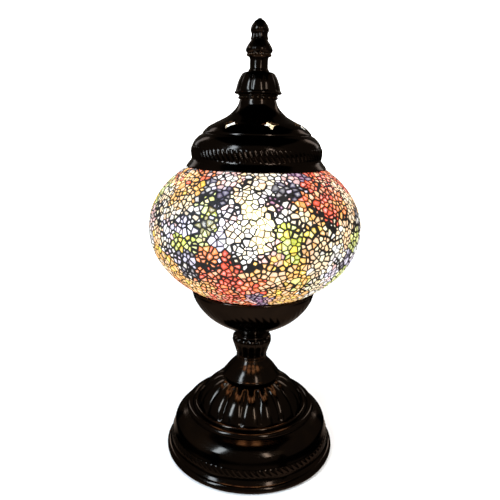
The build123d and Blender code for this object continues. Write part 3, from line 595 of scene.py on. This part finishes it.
LEAVES, LEAF_DEPTH, LEAF_ROWS_MEET = 8, 0.62, 280.2
LOW_LEAF_Z, LOW_LEAF_LENGTH, HIGH_LEAF_Z, HIGH_LEAF_LENGTH = 272.6, 6.4, 280.6, 9.0


def leaf_relief(angle, radius, height):
    """Two rows of pointed leaves: one round the swelling foot, one round the acorn's tip."""
    turns = LEAVES * angle / (2 * math.pi)

    def leaf(turn, rise, taper, least, vein):  # thick at its foot, with a groove down its middle
        across = np.abs(2 * (turn - np.floor(turn)) - 1)
        thickness = least + (1 - least) * (1 - rise)
        return (across < 1 - rise**taper) * thickness * (1 - 0.35 * np.exp(-((across / vein) ** 2)))

    low = leaf(turns, np.clip((height - LOW_LEAF_Z) / LOW_LEAF_LENGTH, 0, 1), 1.6, 0.25, 0.1)
    high = leaf(turns + 0.5, np.clip((height - HIGH_LEAF_Z) / HIGH_LEAF_LENGTH, 0, 1), 1.4, 0.3, 0.12)
    outside = radius > np.where(height < 280, 4.6, 1.2)
    row = np.where(height < LEAF_ROWS_MEET, low, high)
    return np.where(outside & (height > 272.4), LEAF_DEPTH * row - LEAF_DEPTH, 0.0)


knob_loop = joined(
    line((3.1, 272.15), (7.4, 272.15), 2),
    smooth([(7.6, 272.2), (8.4, 273.4), (8.3, 274.8), (7.2, 277.3), (5.9, 279.6), (5.2, 281.6), (5.2, 283.4),
            (5.9, 284.9), (5.9, 286.2), (5.0, 288.6), (3.7, 290.7), (2.0, 291.9), (0.05, 292.1)], 9),
    [(0.05, 284.0)], line((3.1, 283.6), (3.1, 272.15), 2))
knob_mesh = lathe("finial_acorn", knob_loop, LEAVES * 26, leaf_relief, LEAF_SHARP_DEG)
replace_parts(bronze_piece("finial_acorn", knob_mesh, "finial"), "finial_knob")

# ---- globe of glass chips
GLOBE_R, GLOBE_HALF, GLOBE_Z = 69.85, 51.2, 163.3
CHIP_DEPTH, CHIP_BEVEL, CHIP_SHOULDER, CHIP_CROWN = 2.15, 0.34, 0.24, 0.1
GROUT_DROP, GROUT_DISH, GROUT_DEPTH, GROUT_OVERLAP = 0.1, 0.04, 2.18, 0.05
CHIP_SPACING, CHIP_TRIES, SIZE_PULL = 3.75, 140000, 0.15
CHIP_TILT, LEAST_CROWN, MIDDLE_DEPTH, NEIGHBOUR_REACH = 0.06, 0.55, 0.05, 2.9
GLASS_ODDS, GLASS_SHARE, SHADES, WARMTH = (0.56, 0.3, 0.14), 0.75, (0.75, 1.25), 0.06
# how strongly the painted shade darkens each chip's foot and bevel, and how far the painted highlight pales
# the crown's middle
FOOT_PAINTED_SHADE, SIDE_PAINTED_SHADE, MIDDLE_PAINTED_HIGHLIGHT = 0.9, 0.8, (0.15, 0.7)
LOWEST_Z, HIGHEST_Z = 119.3, 206.4
MOUTH_LOW_Z, MOUTH_HIGH_Z, MOUTH_GROUT = 118.75, 207.1, 0.2
BACK_PATCHES, BACK_AZIMUTHS, BACK_HEIGHTS = 95, (76, 284), (125, 203)
BACK_SEAMS, SEAM_AZIMUTHS, SEAM_HEIGHTS, SEAM_SPREAD = 30, (80, 280), (130, 198), 18
TANGENT_HALF, LEAST_EDGE, LEAST_CHIP_AREA = 7.0, 0.12, 0.8
# the second is the narrow gap between chips inside the painted glare
STRAY, GLARE_GAP = 2.6, 0.08
LOOSE_GAPS, BORDER_GAPS, WIDEST_GAP = (0.2, 0.23, 0.27, 0.31, 0.36), (0.24, 0.3, 0.4, 0.6), 1.1
random.seed(31)

# chip colours: the glasses, and glare, a painted highlight of pale yellow where the bulb's hot spot shows
# through the globe
PALETTE = {
    "amber": (0.95, 0.47, 0.10), "peach": (0.97, 0.58, 0.31), "orange": (0.92, 0.23, 0.04),
    "coral": (0.80, 0.075, 0.02), "cream": (0.97, 0.77, 0.50), "white": (0.94, 0.90, 0.86),
    "lavender": (0.78, 0.71, 0.88), "pink": (0.92, 0.54, 0.50), "lime": (0.54, 0.60, 0.05),
    "pale_lime": (0.76, 0.80, 0.30), "olive": (0.30, 0.26, 0.07), "yellow": (0.93, 0.64, 0.06),
    "violet": (0.08, 0.065, 0.125), "purple": (0.25, 0.11, 0.22), "smoke": (0.09, 0.08, 0.10),
    "glare": (1.0, 0.9, 0.5),
}
# what strays into each glass or into the painted glare, first the likelier
KIN = {
    "amber": ("peach", "yellow"), "peach": ("cream", "amber"), "orange": ("amber", "coral"),
    "coral": ("orange", "peach"), "cream": ("white", "peach"), "white": ("cream", "lavender"),
    "lavender": ("white", "pink"), "pink": ("white", "peach"), "lime": ("pale_lime", "yellow"),
    "pale_lime": ("lime", "cream"), "olive": ("lime", "smoke"), "yellow": ("amber", "pale_lime"),
    "violet": ("lavender", "smoke"), "purple": ("pink", "violet"), "smoke": ("white", "violet"),
    "glare": ("cream", "glare"),
}
# azimuth from the front in degrees, positive to the right, then height in millimetres and the glass there;
# the patches named glare are no glass but a painted highlight where the bulb's hot spot shows through the
# globe
FRONT_PATCHES = [
    (-72, 190, "pale_lime"), (-66, 198, "orange"), (-60, 206, "smoke"), (-44, 206, "smoke"),
    (-52, 196, "amber"), (-41, 200, "orange"), (-61, 186, "cream"), (-48, 188, "amber"),
    (-38, 193, "amber"), (-37, 185, "cream"), (-56, 177, "cream"), (-46, 179, "cream"), (-65, 170, "pink"),
    (-56, 167, "peach"), (-30, 182, "white"), (-36, 174, "lavender"), (-45, 168, "lavender"),
    (-51, 160, "white"), (-43, 157, "lavender"), (-25, 188, "pale_lime"), (-23, 181, "olive"),
    (-19, 191, "violet"), (-28, 194, "smoke"), (-24, 201, "pink"), (-14, 199, "pink"), (-8, 192, "cream"),
    (1, 200, "cream"), (3, 191, "white"), (11, 200, "white"), (16, 195, "smoke"), (13, 189, "purple"),
    (22, 201, "pink"), (24, 194, "violet"), (31, 201, "purple"), (36, 196, "coral"), (46, 200, "coral"),
    (26, 188, "orange"), (45, 191, "coral"), (53, 184, "orange"), (36, 187, "coral"), (40, 179, "coral"),
    (31, 181, "amber"), (24, 179, "cream"), (15, 184, "white"), (5, 177, "glare"), (-13, 181, "lavender"),
    (-8, 172, "white"), (-16, 165, "lavender"), (-4, 162, "white"), (3, 169, "glare"), (8, 163, "pink"),
    (-36, 165, "lime"), (-27, 166, "pale_lime"), (15, 172, "lime"), (18, 164, "lime"), (-1, 184, "glare"),
    (25, 172, "yellow"), (31, 167, "peach"), (41, 173, "cream"), (50, 170, "peach"), (44, 164, "cream"),
    (58, 178, "peach"), (62, 166, "pale_lime"), (33, 159, "cream"), (25, 162, "peach"), (45, 155, "white"),
    (47, 144, "lavender"), (54, 150, "violet"), (-21, 157, "orange"), (-12, 154, "coral"),
    (-23, 147, "coral"), (-7, 146, "coral"), (-15, 139, "coral"), (-5, 138, "coral"), (-25, 139, "orange"),
    (5, 157, "pink"), (2, 150, "amber"), (12, 154, "amber"), (22, 152, "amber"), (4, 143, "coral"),
    (13, 146, "peach"), (25, 143, "yellow"), (15, 137, "amber"), (34, 149, "cream"), (-35, 155, "violet"),
    (-36, 147, "smoke"), (-50, 149, "amber"), (-58, 154, "amber"), (-46, 141, "amber"), (-61, 144, "peach"),
    (-36, 137, "amber"), (-55, 133, "orange"), (57, 140, "pale_lime"), (37, 138, "cream"),
    (61, 131, "cream"), (2, 129, "purple"), (22, 130, "amber"), (-20, 130, "coral"), (-9, 127, "coral"),
    (68, 187, "peach"), (70, 175, "smoke"), (70, 158, "white"), (68, 149, "lavender"), (-70, 160, "white"),
]
# azimuth and height of both ends of the seams where the chips have drifted apart
SEAMS = [
    (-52, 171, -31, 180), (21, 177, 45, 166), (-13, 193, -3, 199), (-31, 167, -27, 160), (45, 153, 56, 146),
    (-6, 155, 14, 153), (-20, 178, -9, 185), (12, 190, 25, 193), (-49, 159, -38, 153), (29, 185, 41, 172),
    (-30, 190, -18, 186), (9, 184, 20, 176), (-27, 152, -8, 158), (50, 178, 62, 170), (-66, 182, -55, 172),
]
SEAM_REACH, SEAM_GAIN = 1.7, 2.0
BACK_GLASS = ["amber", "coral", "cream", "white", "lavender", "lime", "peach", "orange", "yellow",
              "pale_lime", "pink", "purple", "violet", "white", "amber", "coral"]


def globe_point(azimuth_deg, z):
    """A point on the globe's outside, by its azimuth from the front and its height."""
    ring = GLOBE_R * math.sqrt(1 - ((z - GLOBE_Z) / GLOBE_HALF) ** 2)
    a = math.radians(azimuth_deg - 90)
    return Vector((ring * math.cos(a), ring * math.sin(a), z))


def on_globe(point, depth):
    """The point moved along its ray from the globe's centre to a given depth under the outside."""
    x, y, z = point[0], point[1], point[2] - GLOBE_Z
    a, b = GLOBE_R - depth, GLOBE_HALF - depth
    s = 1 / math.sqrt((x * x + y * y) / (a * a) + z * z / (b * b))
    return Vector((x * s, y * s, GLOBE_Z + z * s))


def globe_normal(point):
    """The outward normal at a point of the globe's outside."""
    x, y, z = point[0], point[1], point[2] - GLOBE_Z
    return Vector((x / GLOBE_R**2, y / GLOBE_R**2, z / GLOBE_HALF**2)).normalized()


def scattered(spacing, tries, low_z, high_z):
    """Points thrown evenly over the globe and kept apart by a distance that varies from point to point."""
    kept, cells = [], {}
    cell = spacing * 1.4
    for _ in range(tries):
        p = globe_point(random.uniform(-180, 180), random.uniform(low_z, high_z))
        ring = math.hypot(p.x, p.y)
        slope = math.hypot(1, (p.z - GLOBE_Z) * GLOBE_R**2 / (GLOBE_HALF**2 * ring))
        if random.random() > ring * slope / (GLOBE_R * 1.35):  # as many points to each bit of the surface
            continue
        apart = spacing * random.uniform(0.5, 1.5)
        key = tuple(int(v // cell) for v in p)
        near = [q for dx in (-1, 0, 1) for dy in (-1, 0, 1) for dz in (-1, 0, 1)
                for q in cells.get((key[0] + dx, key[1] + dy, key[2] + dz), ())]
        if all((p - q).length > apart for q in near):
            kept.append(p)
            cells.setdefault(key, []).append(p)
    return kept


def clipped(polygon, a, b, c):
    """The convex polygon's part where a*u + b*v >= c."""
    made = []
    for (u0, v0), (u1, v1) in zip(polygon, polygon[1:] + polygon[:1]):
        d0, d1 = a * u0 + b * v0 - c, a * u1 + b * v1 - c
        if d0 >= 0:
            made.append((u0, v0))
        if (d0 > 0 > d1) or (d0 < 0 < d1):
            t = d0 / (d0 - d1)
            made.append((u0 + (u1 - u0) * t, v0 + (v1 - v0) * t))
    return made


def merged(polygon, least):
    """The polygon without corners that are nearer than least to the one before."""
    made = []
    for q in polygon:
        if not made or math.dist(q, made[-1]) > least:
            made.append(q)
    if len(made) > 1 and math.dist(made[0], made[-1]) <= least:
        made.pop()
    return made


def polygon_area(polygon):
    """Signed area of a polygon."""
    return 0.5 * sum(u0 * v1 - u1 * v0 for (u0, v0), (u1, v1) in zip(polygon, polygon[1:] + polygon[:1]))


def middle_of(polygon):
    """The mean of a polygon's corners."""
    return (sum(u for u, v in polygon) / len(polygon), sum(v for u, v in polygon) / len(polygon))


def nearest_of(points):
    """A search tree over points."""
    tree = KDTree(len(points))
    for i, p in enumerate(points):
        tree.insert(p, i)
    tree.balance()
    return tree


patches = [(globe_point(azimuth, z), glass) for azimuth, z, glass in FRONT_PATCHES]
for k in range(BACK_PATCHES):
    place = globe_point(random.uniform(*BACK_AZIMUTHS), random.uniform(*BACK_HEIGHTS))
    patches.append((place, random.choice(BACK_GLASS)))
patch_tree = nearest_of([place for place, glass in patches])
chips = scattered(CHIP_SPACING, CHIP_TRIES, LOWEST_Z, HIGHEST_Z)
size_of = [random.uniform(-1, 1) for _ in chips]
chip_tree = nearest_of(chips)
patch_of = [patch_tree.find(p + Vector([random.uniform(-STRAY, STRAY) for _ in range(3)]))[1] for p in chips]
looseness = [GLARE_GAP if glass == "glare" else random.choice(LOOSE_GAPS) for place, glass in patches]
seams = [(globe_point(a0, z0), globe_point(a1, z1)) for a0, z0, a1, z1 in SEAMS]
for k in range(BACK_SEAMS):
    start = globe_point(random.uniform(*SEAM_AZIMUTHS), random.uniform(*SEAM_HEIGHTS))
    drift = Vector([random.uniform(-SEAM_SPREAD, SEAM_SPREAD) for _ in range(3)])
    seams.append((start, on_globe(start + drift, 0)))


def seam_gain(point):
    """How much wider a gap is at a point because of the seams near it."""
    gain = 1.0
    for start, end in seams:
        along = end - start
        t = min(max((point - start).dot(along) / along.length_squared, 0), 1)
        distance = (point - start - along * t).length
        if distance < 3 * SEAM_REACH:
            gain += SEAM_GAIN * math.exp(-((distance / SEAM_REACH) ** 2))
    return min(gain, 1 + SEAM_GAIN)


gain_of = [seam_gain(p) for p in chips]
gaps, joints = {}, {}


def gap_half(i, j):
    """Half the gap between two neighbouring chips, the same from both sides, wider at a patch's border."""
    key = (min(i, j), max(i, j))
    if key not in gaps:
        a, b = sorted((patch_of[i], patch_of[j]))
        if a == b:
            gaps[key] = looseness[a] * random.uniform(0.6, 1.5)
        else:
            if (a, b) not in joints:
                joints[(a, b)] = random.choice(BORDER_GAPS)
            gaps[key] = joints[(a, b)] * random.uniform(0.7, 1.3)
        gaps[key] = min(gaps[key] * (gain_of[i] + gain_of[j]) / 2, WIDEST_GAP)
    return gaps[key]


class Piece:
    """Points and faces gathered for one mesh."""

    def __init__(self):
        self.points, self.faces, self.colours = [], [], []

    def ring(self, places, colour=None):
        """Adds a ring of points and returns their numbers."""
        first = len(self.points)
        self.points += [tuple(p * MM) for p in places]
        if colour is not None:
            self.colours += [colour] * len(places)
        return list(range(first, len(self.points)))

    def band(self, a, b):
        """Joins two rings of the same size with quads."""
        n = len(a)
        self.faces += [(a[i], a[(i + 1) % n], b[(i + 1) % n], b[i]) for i in range(n)]

    def mesh(self, name):
        """The finished mesh, with its colours where it has any."""
        made = bpy.data.meshes.new(name)
        made.from_pydata(self.points, [], self.faces)
        if self.colours:
            tint = made.attributes.new("chip_colour_and_painted_light", "FLOAT_COLOR", "POINT")
            tint.data.foreach_set("color", np.array(self.colours, np.float32).ravel())
        return made


class Cell:
    """The space round one chip's seed, as outlines in the plane that touches the globe there."""

    def __init__(self, index):
        self.seed = chips[index]
        normal = globe_normal(self.seed)
        self.across = Vector((-self.seed.y, self.seed.x, 0)).normalized()
        self.up = normal.cross(self.across)
        h = TANGENT_HALF
        self.cell = [(-h, -h), (h, -h), (h, h), (-h, h)]
        self.chip = list(self.cell)
        for place, other, distance in chip_tree.find_range(self.seed, CHIP_SPACING * NEIGHBOUR_REACH):
            if other == index:
                continue
            facing = (self.seed - place).normalized()
            a, b = facing.dot(self.across), facing.dot(self.up)
            length = math.hypot(a, b)
            c = distance * (SIZE_PULL * (size_of[other] - size_of[index]) - 0.5)
            self.cell = clipped(self.cell, a, b, c - GROUT_OVERLAP * length)
            self.chip = clipped(self.chip, a, b, c + gap_half(index, other) * length)
        steep, z = self.up.z, self.seed.z
        self.cell = clipped(clipped(self.cell, 0, -steep, z - MOUTH_HIGH_Z), 0, steep, MOUTH_LOW_Z - z)
        self.chip = clipped(clipped(self.chip, 0, -steep, z - MOUTH_HIGH_Z + MOUTH_GROUT), 0, steep,
                            MOUTH_LOW_Z + MOUTH_GROUT - z)
        self.cell, self.chip = merged(self.cell, LEAST_EDGE), merged(self.chip, LEAST_EDGE)

    def placed(self, outline, depth, tilt=(0.0, 0.0)):
        """An outline's corners set on the globe at a depth that changes across it by the tilt."""
        return [on_globe(self.seed + self.across * u + self.up * v,
                         max(0.0, depth + tilt[0] * u + tilt[1] * v)) for u, v in outline]

    def paired(self):
        """The cell's and the chip's outlines with as many corners each, matched by direction."""
        cu, cv = middle_of(self.chip)

        def turned(polygon):
            return sorted(polygon, key=lambda q: math.atan2(q[1] - cv, q[0] - cu))

        outer, inner = turned(self.cell), turned(self.chip)
        if len(outer) == len(inner):
            return outer, inner
        few, many = (outer, inner) if len(outer) < len(inner) else (inner, outer)
        matched = []
        for q in many:
            direction = (q[0] - cu, q[1] - cv)
            size = math.hypot(*direction)
            reach = reach_of(few, (cu, cv), (direction[0] / size, direction[1] / size))
            matched.append((cu + direction[0] / size * reach, cv + direction[1] / size * reach))
        return (matched, many) if few is outer else (many, matched)


def reach_of(polygon, centre, direction):
    """How far a ray from the centre goes before it leaves the convex polygon."""
    best = 1e9
    for (u0, v0), (u1, v1) in zip(polygon, polygon[1:] + polygon[:1]):
        nu, nv = v1 - v0, u0 - u1
        towards = direction[0] * nu + direction[1] * nv
        if towards > 1e-9:
            best = min(best, ((u0 - centre[0]) * nu + (v0 - centre[1]) * nv) / towards)
    return best


def mixed(a, b, share):
    """The colour a with a share of b."""
    return tuple(x * (1 - share) + y * share for x, y in zip(a, b))


def add_chip(piece, cell, tone):
    """One bevelled chip with a faceted crown, as a closed solid, coloured with painted shade towards its foot
    and bevel and a painted highlight in the crown's middle.
    """
    cu, cv = middle_of(cell.chip)
    tilt = (random.uniform(-CHIP_TILT, CHIP_TILT), random.uniform(-CHIP_TILT, CHIP_TILT))
    crown = []
    for u, v in cell.chip:
        keep = max(1 - CHIP_BEVEL / max(math.hypot(u - cu, v - cv), 1e-6), LEAST_CROWN)
        crown.append((cu + (u - cu) * keep, cv + (v - cv) * keep))
    # painted shade and highlight: the foot and bevel are darkened towards black and the crown's middle is
    # paled towards white, and the chip's glow follows these colours
    painted_foot_shade = mixed(tone, (0.0, 0.0, 0.0), FOOT_PAINTED_SHADE)
    pale = mixed(tone, (1.0, 0.97, 0.92), random.uniform(*MIDDLE_PAINTED_HIGHLIGHT))
    low = piece.ring(cell.placed(cell.chip, CHIP_DEPTH), (*painted_foot_shade, 1))
    side = piece.ring(cell.placed(cell.chip, CHIP_SHOULDER, tilt), (*mixed(tone, painted_foot_shade, SIDE_PAINTED_SHADE), 1))
    top = piece.ring(cell.placed(crown, CHIP_CROWN, tilt), (*tone, 1))
    middle = piece.ring(cell.placed([(cu, cv)], MIDDLE_DEPTH), (*pale, 1))[0]
    piece.faces.append(tuple(low[::-1]))
    piece.band(low, side)
    piece.band(side, top)
    n = len(top)
    piece.faces += [(top[i], top[(i + 1) % n], middle) for i in range(n)]


def add_grout(piece, cell):
    """The grout in one cell round its chip, as a closed frame."""
    outer, inner = cell.paired()
    out_low = piece.ring(cell.placed(outer, GROUT_DEPTH))
    out_top = piece.ring(cell.placed(outer, GROUT_DROP))
    in_top = piece.ring(cell.placed(inner, GROUT_DROP + GROUT_DISH))
    in_low = piece.ring(cell.placed(inner, GROUT_DEPTH))
    piece.band(out_low, out_top)
    piece.band(out_top, in_top)
    piece.band(in_top, in_low)
    piece.band(in_low, out_low)


def add_plug(piece, cell):
    """Grout that fills a whole cell where no chip is left."""
    low = piece.ring(cell.placed(cell.cell, GROUT_DEPTH))
    top = piece.ring(cell.placed(cell.cell, GROUT_DROP))
    piece.faces += [tuple(low[::-1]), tuple(top)]
    piece.band(low, top)


def chip_tone(patch):
    """One chip's colour: its patch's glass, or the painted glare, lighter, darker or mixed a little at
    random.
    """
    glass = patches[patch][1]
    near, far = KIN[glass]
    base = mixed(PALETTE[glass], PALETTE[random.choices((glass, near, far), GLASS_ODDS)[0]], GLASS_SHARE)
    shade = random.uniform(*SHADES)
    warm = random.uniform(-WARMTH, WARMTH)
    return tuple(min(max(c * shade * (1 + w), 0.01), 1.0) for c, w in zip(base, (warm, 0, -warm)))


chip_piece = Piece()
grout_pieces = {"grout_left": Piece(), "grout_right": Piece()}
for index, seed in enumerate(chips):
    cell = Cell(index)
    grout_piece = grout_pieces["grout_left" if seed.x < 0 else "grout_right"]
    tone = chip_tone(patch_of[index])
    if len(cell.chip) < 3 or abs(polygon_area(cell.chip)) < LEAST_CHIP_AREA:
        if len(cell.cell) > 2:
            add_plug(grout_piece, cell)
        continue
    add_chip(chip_piece, cell, tone)
    add_grout(grout_piece, cell)

glass_chips = new_object("glass_chips", chip_piece.mesh("glass_chips"), "stand", [CHIPS])
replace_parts(glass_chips, "mosaic_layer")
for grout_name, grout_piece in grout_pieces.items():
    new_object(grout_name, grout_piece.mesh(grout_name), "stand", [GROUT])

# ---- studio
FLOOR_HALF, SWEEP_R, BACK_Y, BACK_TOP = 3.0, 1.2, 1.6, 4.0
LIGHTS_AIM_Z, GLOW_SIZE = 0.15, (0.018, 0.026)


def studio_floor():
    """A floor that curves up into a back wall without an edge."""
    line_points = [(-FLOOR_HALF, 0.0)] + [(BACK_Y + SWEEP_R * math.sin(a), SWEEP_R * (1 - math.cos(a)))
                                          for a in np.linspace(0, math.pi / 2, 25)]
    line_points.append((BACK_Y + SWEEP_R, BACK_TOP))
    mesh = bpy.data.meshes.new("studio_floor")
    points = [(x, y, z) for y, z in line_points for x in (-FLOOR_HALF * 1.6, FLOOR_HALF * 1.6)]
    faces = [(2 * i, 2 * i + 1, 2 * i + 3, 2 * i + 2) for i in range(len(line_points) - 1)]
    mesh.from_pydata(points, [], faces)
    mesh.shade_smooth()
    mesh.materials.append(pale_floor())
    floor = linked("studio_floor", mesh)
    floor.visible_glossy = False


def soft_box(name, place, facing, width, height, radiance, colour):
    """A rectangular light that shines along facing and that the camera doesn't see."""
    data = bpy.data.lights.new(name, "AREA")
    data.shape = "RECTANGLE"
    data.size, data.size_y = width, height
    data.energy = radiance * math.pi * width * height
    data.color = colour
    light = linked(name, data)
    light.location = place
    light.rotation_euler = facing.to_track_quat("-Z", "Y").to_euler()
    light.visible_camera = False
    return light


def area_light(name, azimuth_deg, elevation_deg, distance, width, height, radiance, colour, in_metal=True):
    """A soft box that faces the lamp. Azimuth 0 is the camera's side, positive to its right."""
    a, e = math.radians(azimuth_deg - 90), math.radians(elevation_deg)
    target = Vector((0, 0, LIGHTS_AIM_Z))
    place = target + Vector((math.cos(a) * math.cos(e), math.sin(a) * math.cos(e), math.sin(e))) * distance
    light = soft_box(name, place, target - place, width, height, radiance, colour)
    light.visible_glossy = in_metal


def globe_glow(count, ring_r, height, radiance, colour):
    """Small warm lights under the globe's belly, for what its glow adds to the metal below."""
    for k in range(count):
        a = 2 * math.pi * (k + 0.5) / count
        place = Vector((ring_r * math.cos(a), ring_r * math.sin(a), height)) * MM
        facing = Vector((0.5 * math.cos(a), 0.5 * math.sin(a), -1))
        light = soft_box(f"globe_glow_{k}", place, facing, *GLOW_SIZE, radiance, colour)
        light.visible_diffuse = False


studio_floor()
# name, azimuth, elevation, distance, width, height, radiance, colour, seen in the metal
for lamp_row in (
    ("window_left", -46, 28, 1.5, 0.26, 1.0, 20.0, (0.55, 0.78, 1.0), True),
    ("window_right", 26, 26, 1.6, 0.16, 0.9, 9.0, (1.0, 0.96, 0.9), True),
    ("back_left", -140, 25, 1.6, 0.25, 0.7, 4.5, (0.9, 0.95, 1.0), True),
    ("back_right", 140, 25, 1.6, 0.25, 0.7, 4.5, (1.0, 0.97, 0.93), True),
    ("ceiling", 0, 62, 2.6, 3.0, 3.0, 3.4, (1.0, 1.0, 1.0), False),
):
    area_light(*lamp_row)
for fill_name, fill_azimuth in (("front", 0), ("right", 90), ("back", 180), ("left", 270)):
    area_light("fill_" + fill_name, fill_azimuth, 20, 2.4, 4.4, 3.2, 0.13, (1.0, 0.8, 0.62))
area_light("floor_bounce", 0, -89, 1.2, 4.0, 4.0, 0.45, (1.0, 0.78, 0.62))
globe_glow(count=12, ring_r=58.0, height=130.0, radiance=3.8, colour=(1.0, 0.5, 0.22))
world = bpy.data.worlds.new("studio")
world.use_nodes = True
background = world.node_tree.nodes["Background"]
background.inputs["Color"].default_value = (1, 1, 1, 1)
background.inputs["Strength"].default_value = 1.0
for ray in ("diffuse", "glossy", "transmission"):
    setattr(world.cycles_visibility, ray, False)
bpy.context.scene.world = world
bpy.context.scene.view_settings.view_transform = "Standard"

CAMERA_Y, CAMERA_Z, CAMERA_DOWN_DEG, CAMERA_ROLL_DEG = -0.3296, 0.2304, 14.4, 1.47
camera_data = bpy.data.cameras.new("camera")
camera_data.lens = 36.0
camera_data.sensor_width = 36.0
camera_data.clip_start = 0.01
camera_data.shift_x = -0.0082
camera_data.shift_y = 0.0024
camera = linked("camera", camera_data)
camera.location = (0, CAMERA_Y, CAMERA_Z)
down = math.radians(CAMERA_DOWN_DEG)
camera.rotation_euler = Vector((0, math.cos(down), -math.sin(down))).to_track_quat("-Z", "Y").to_euler()
camera.rotation_euler.rotate_axis("Z", math.radians(CAMERA_ROLL_DEG))
bpy.context.scene.camera = camera
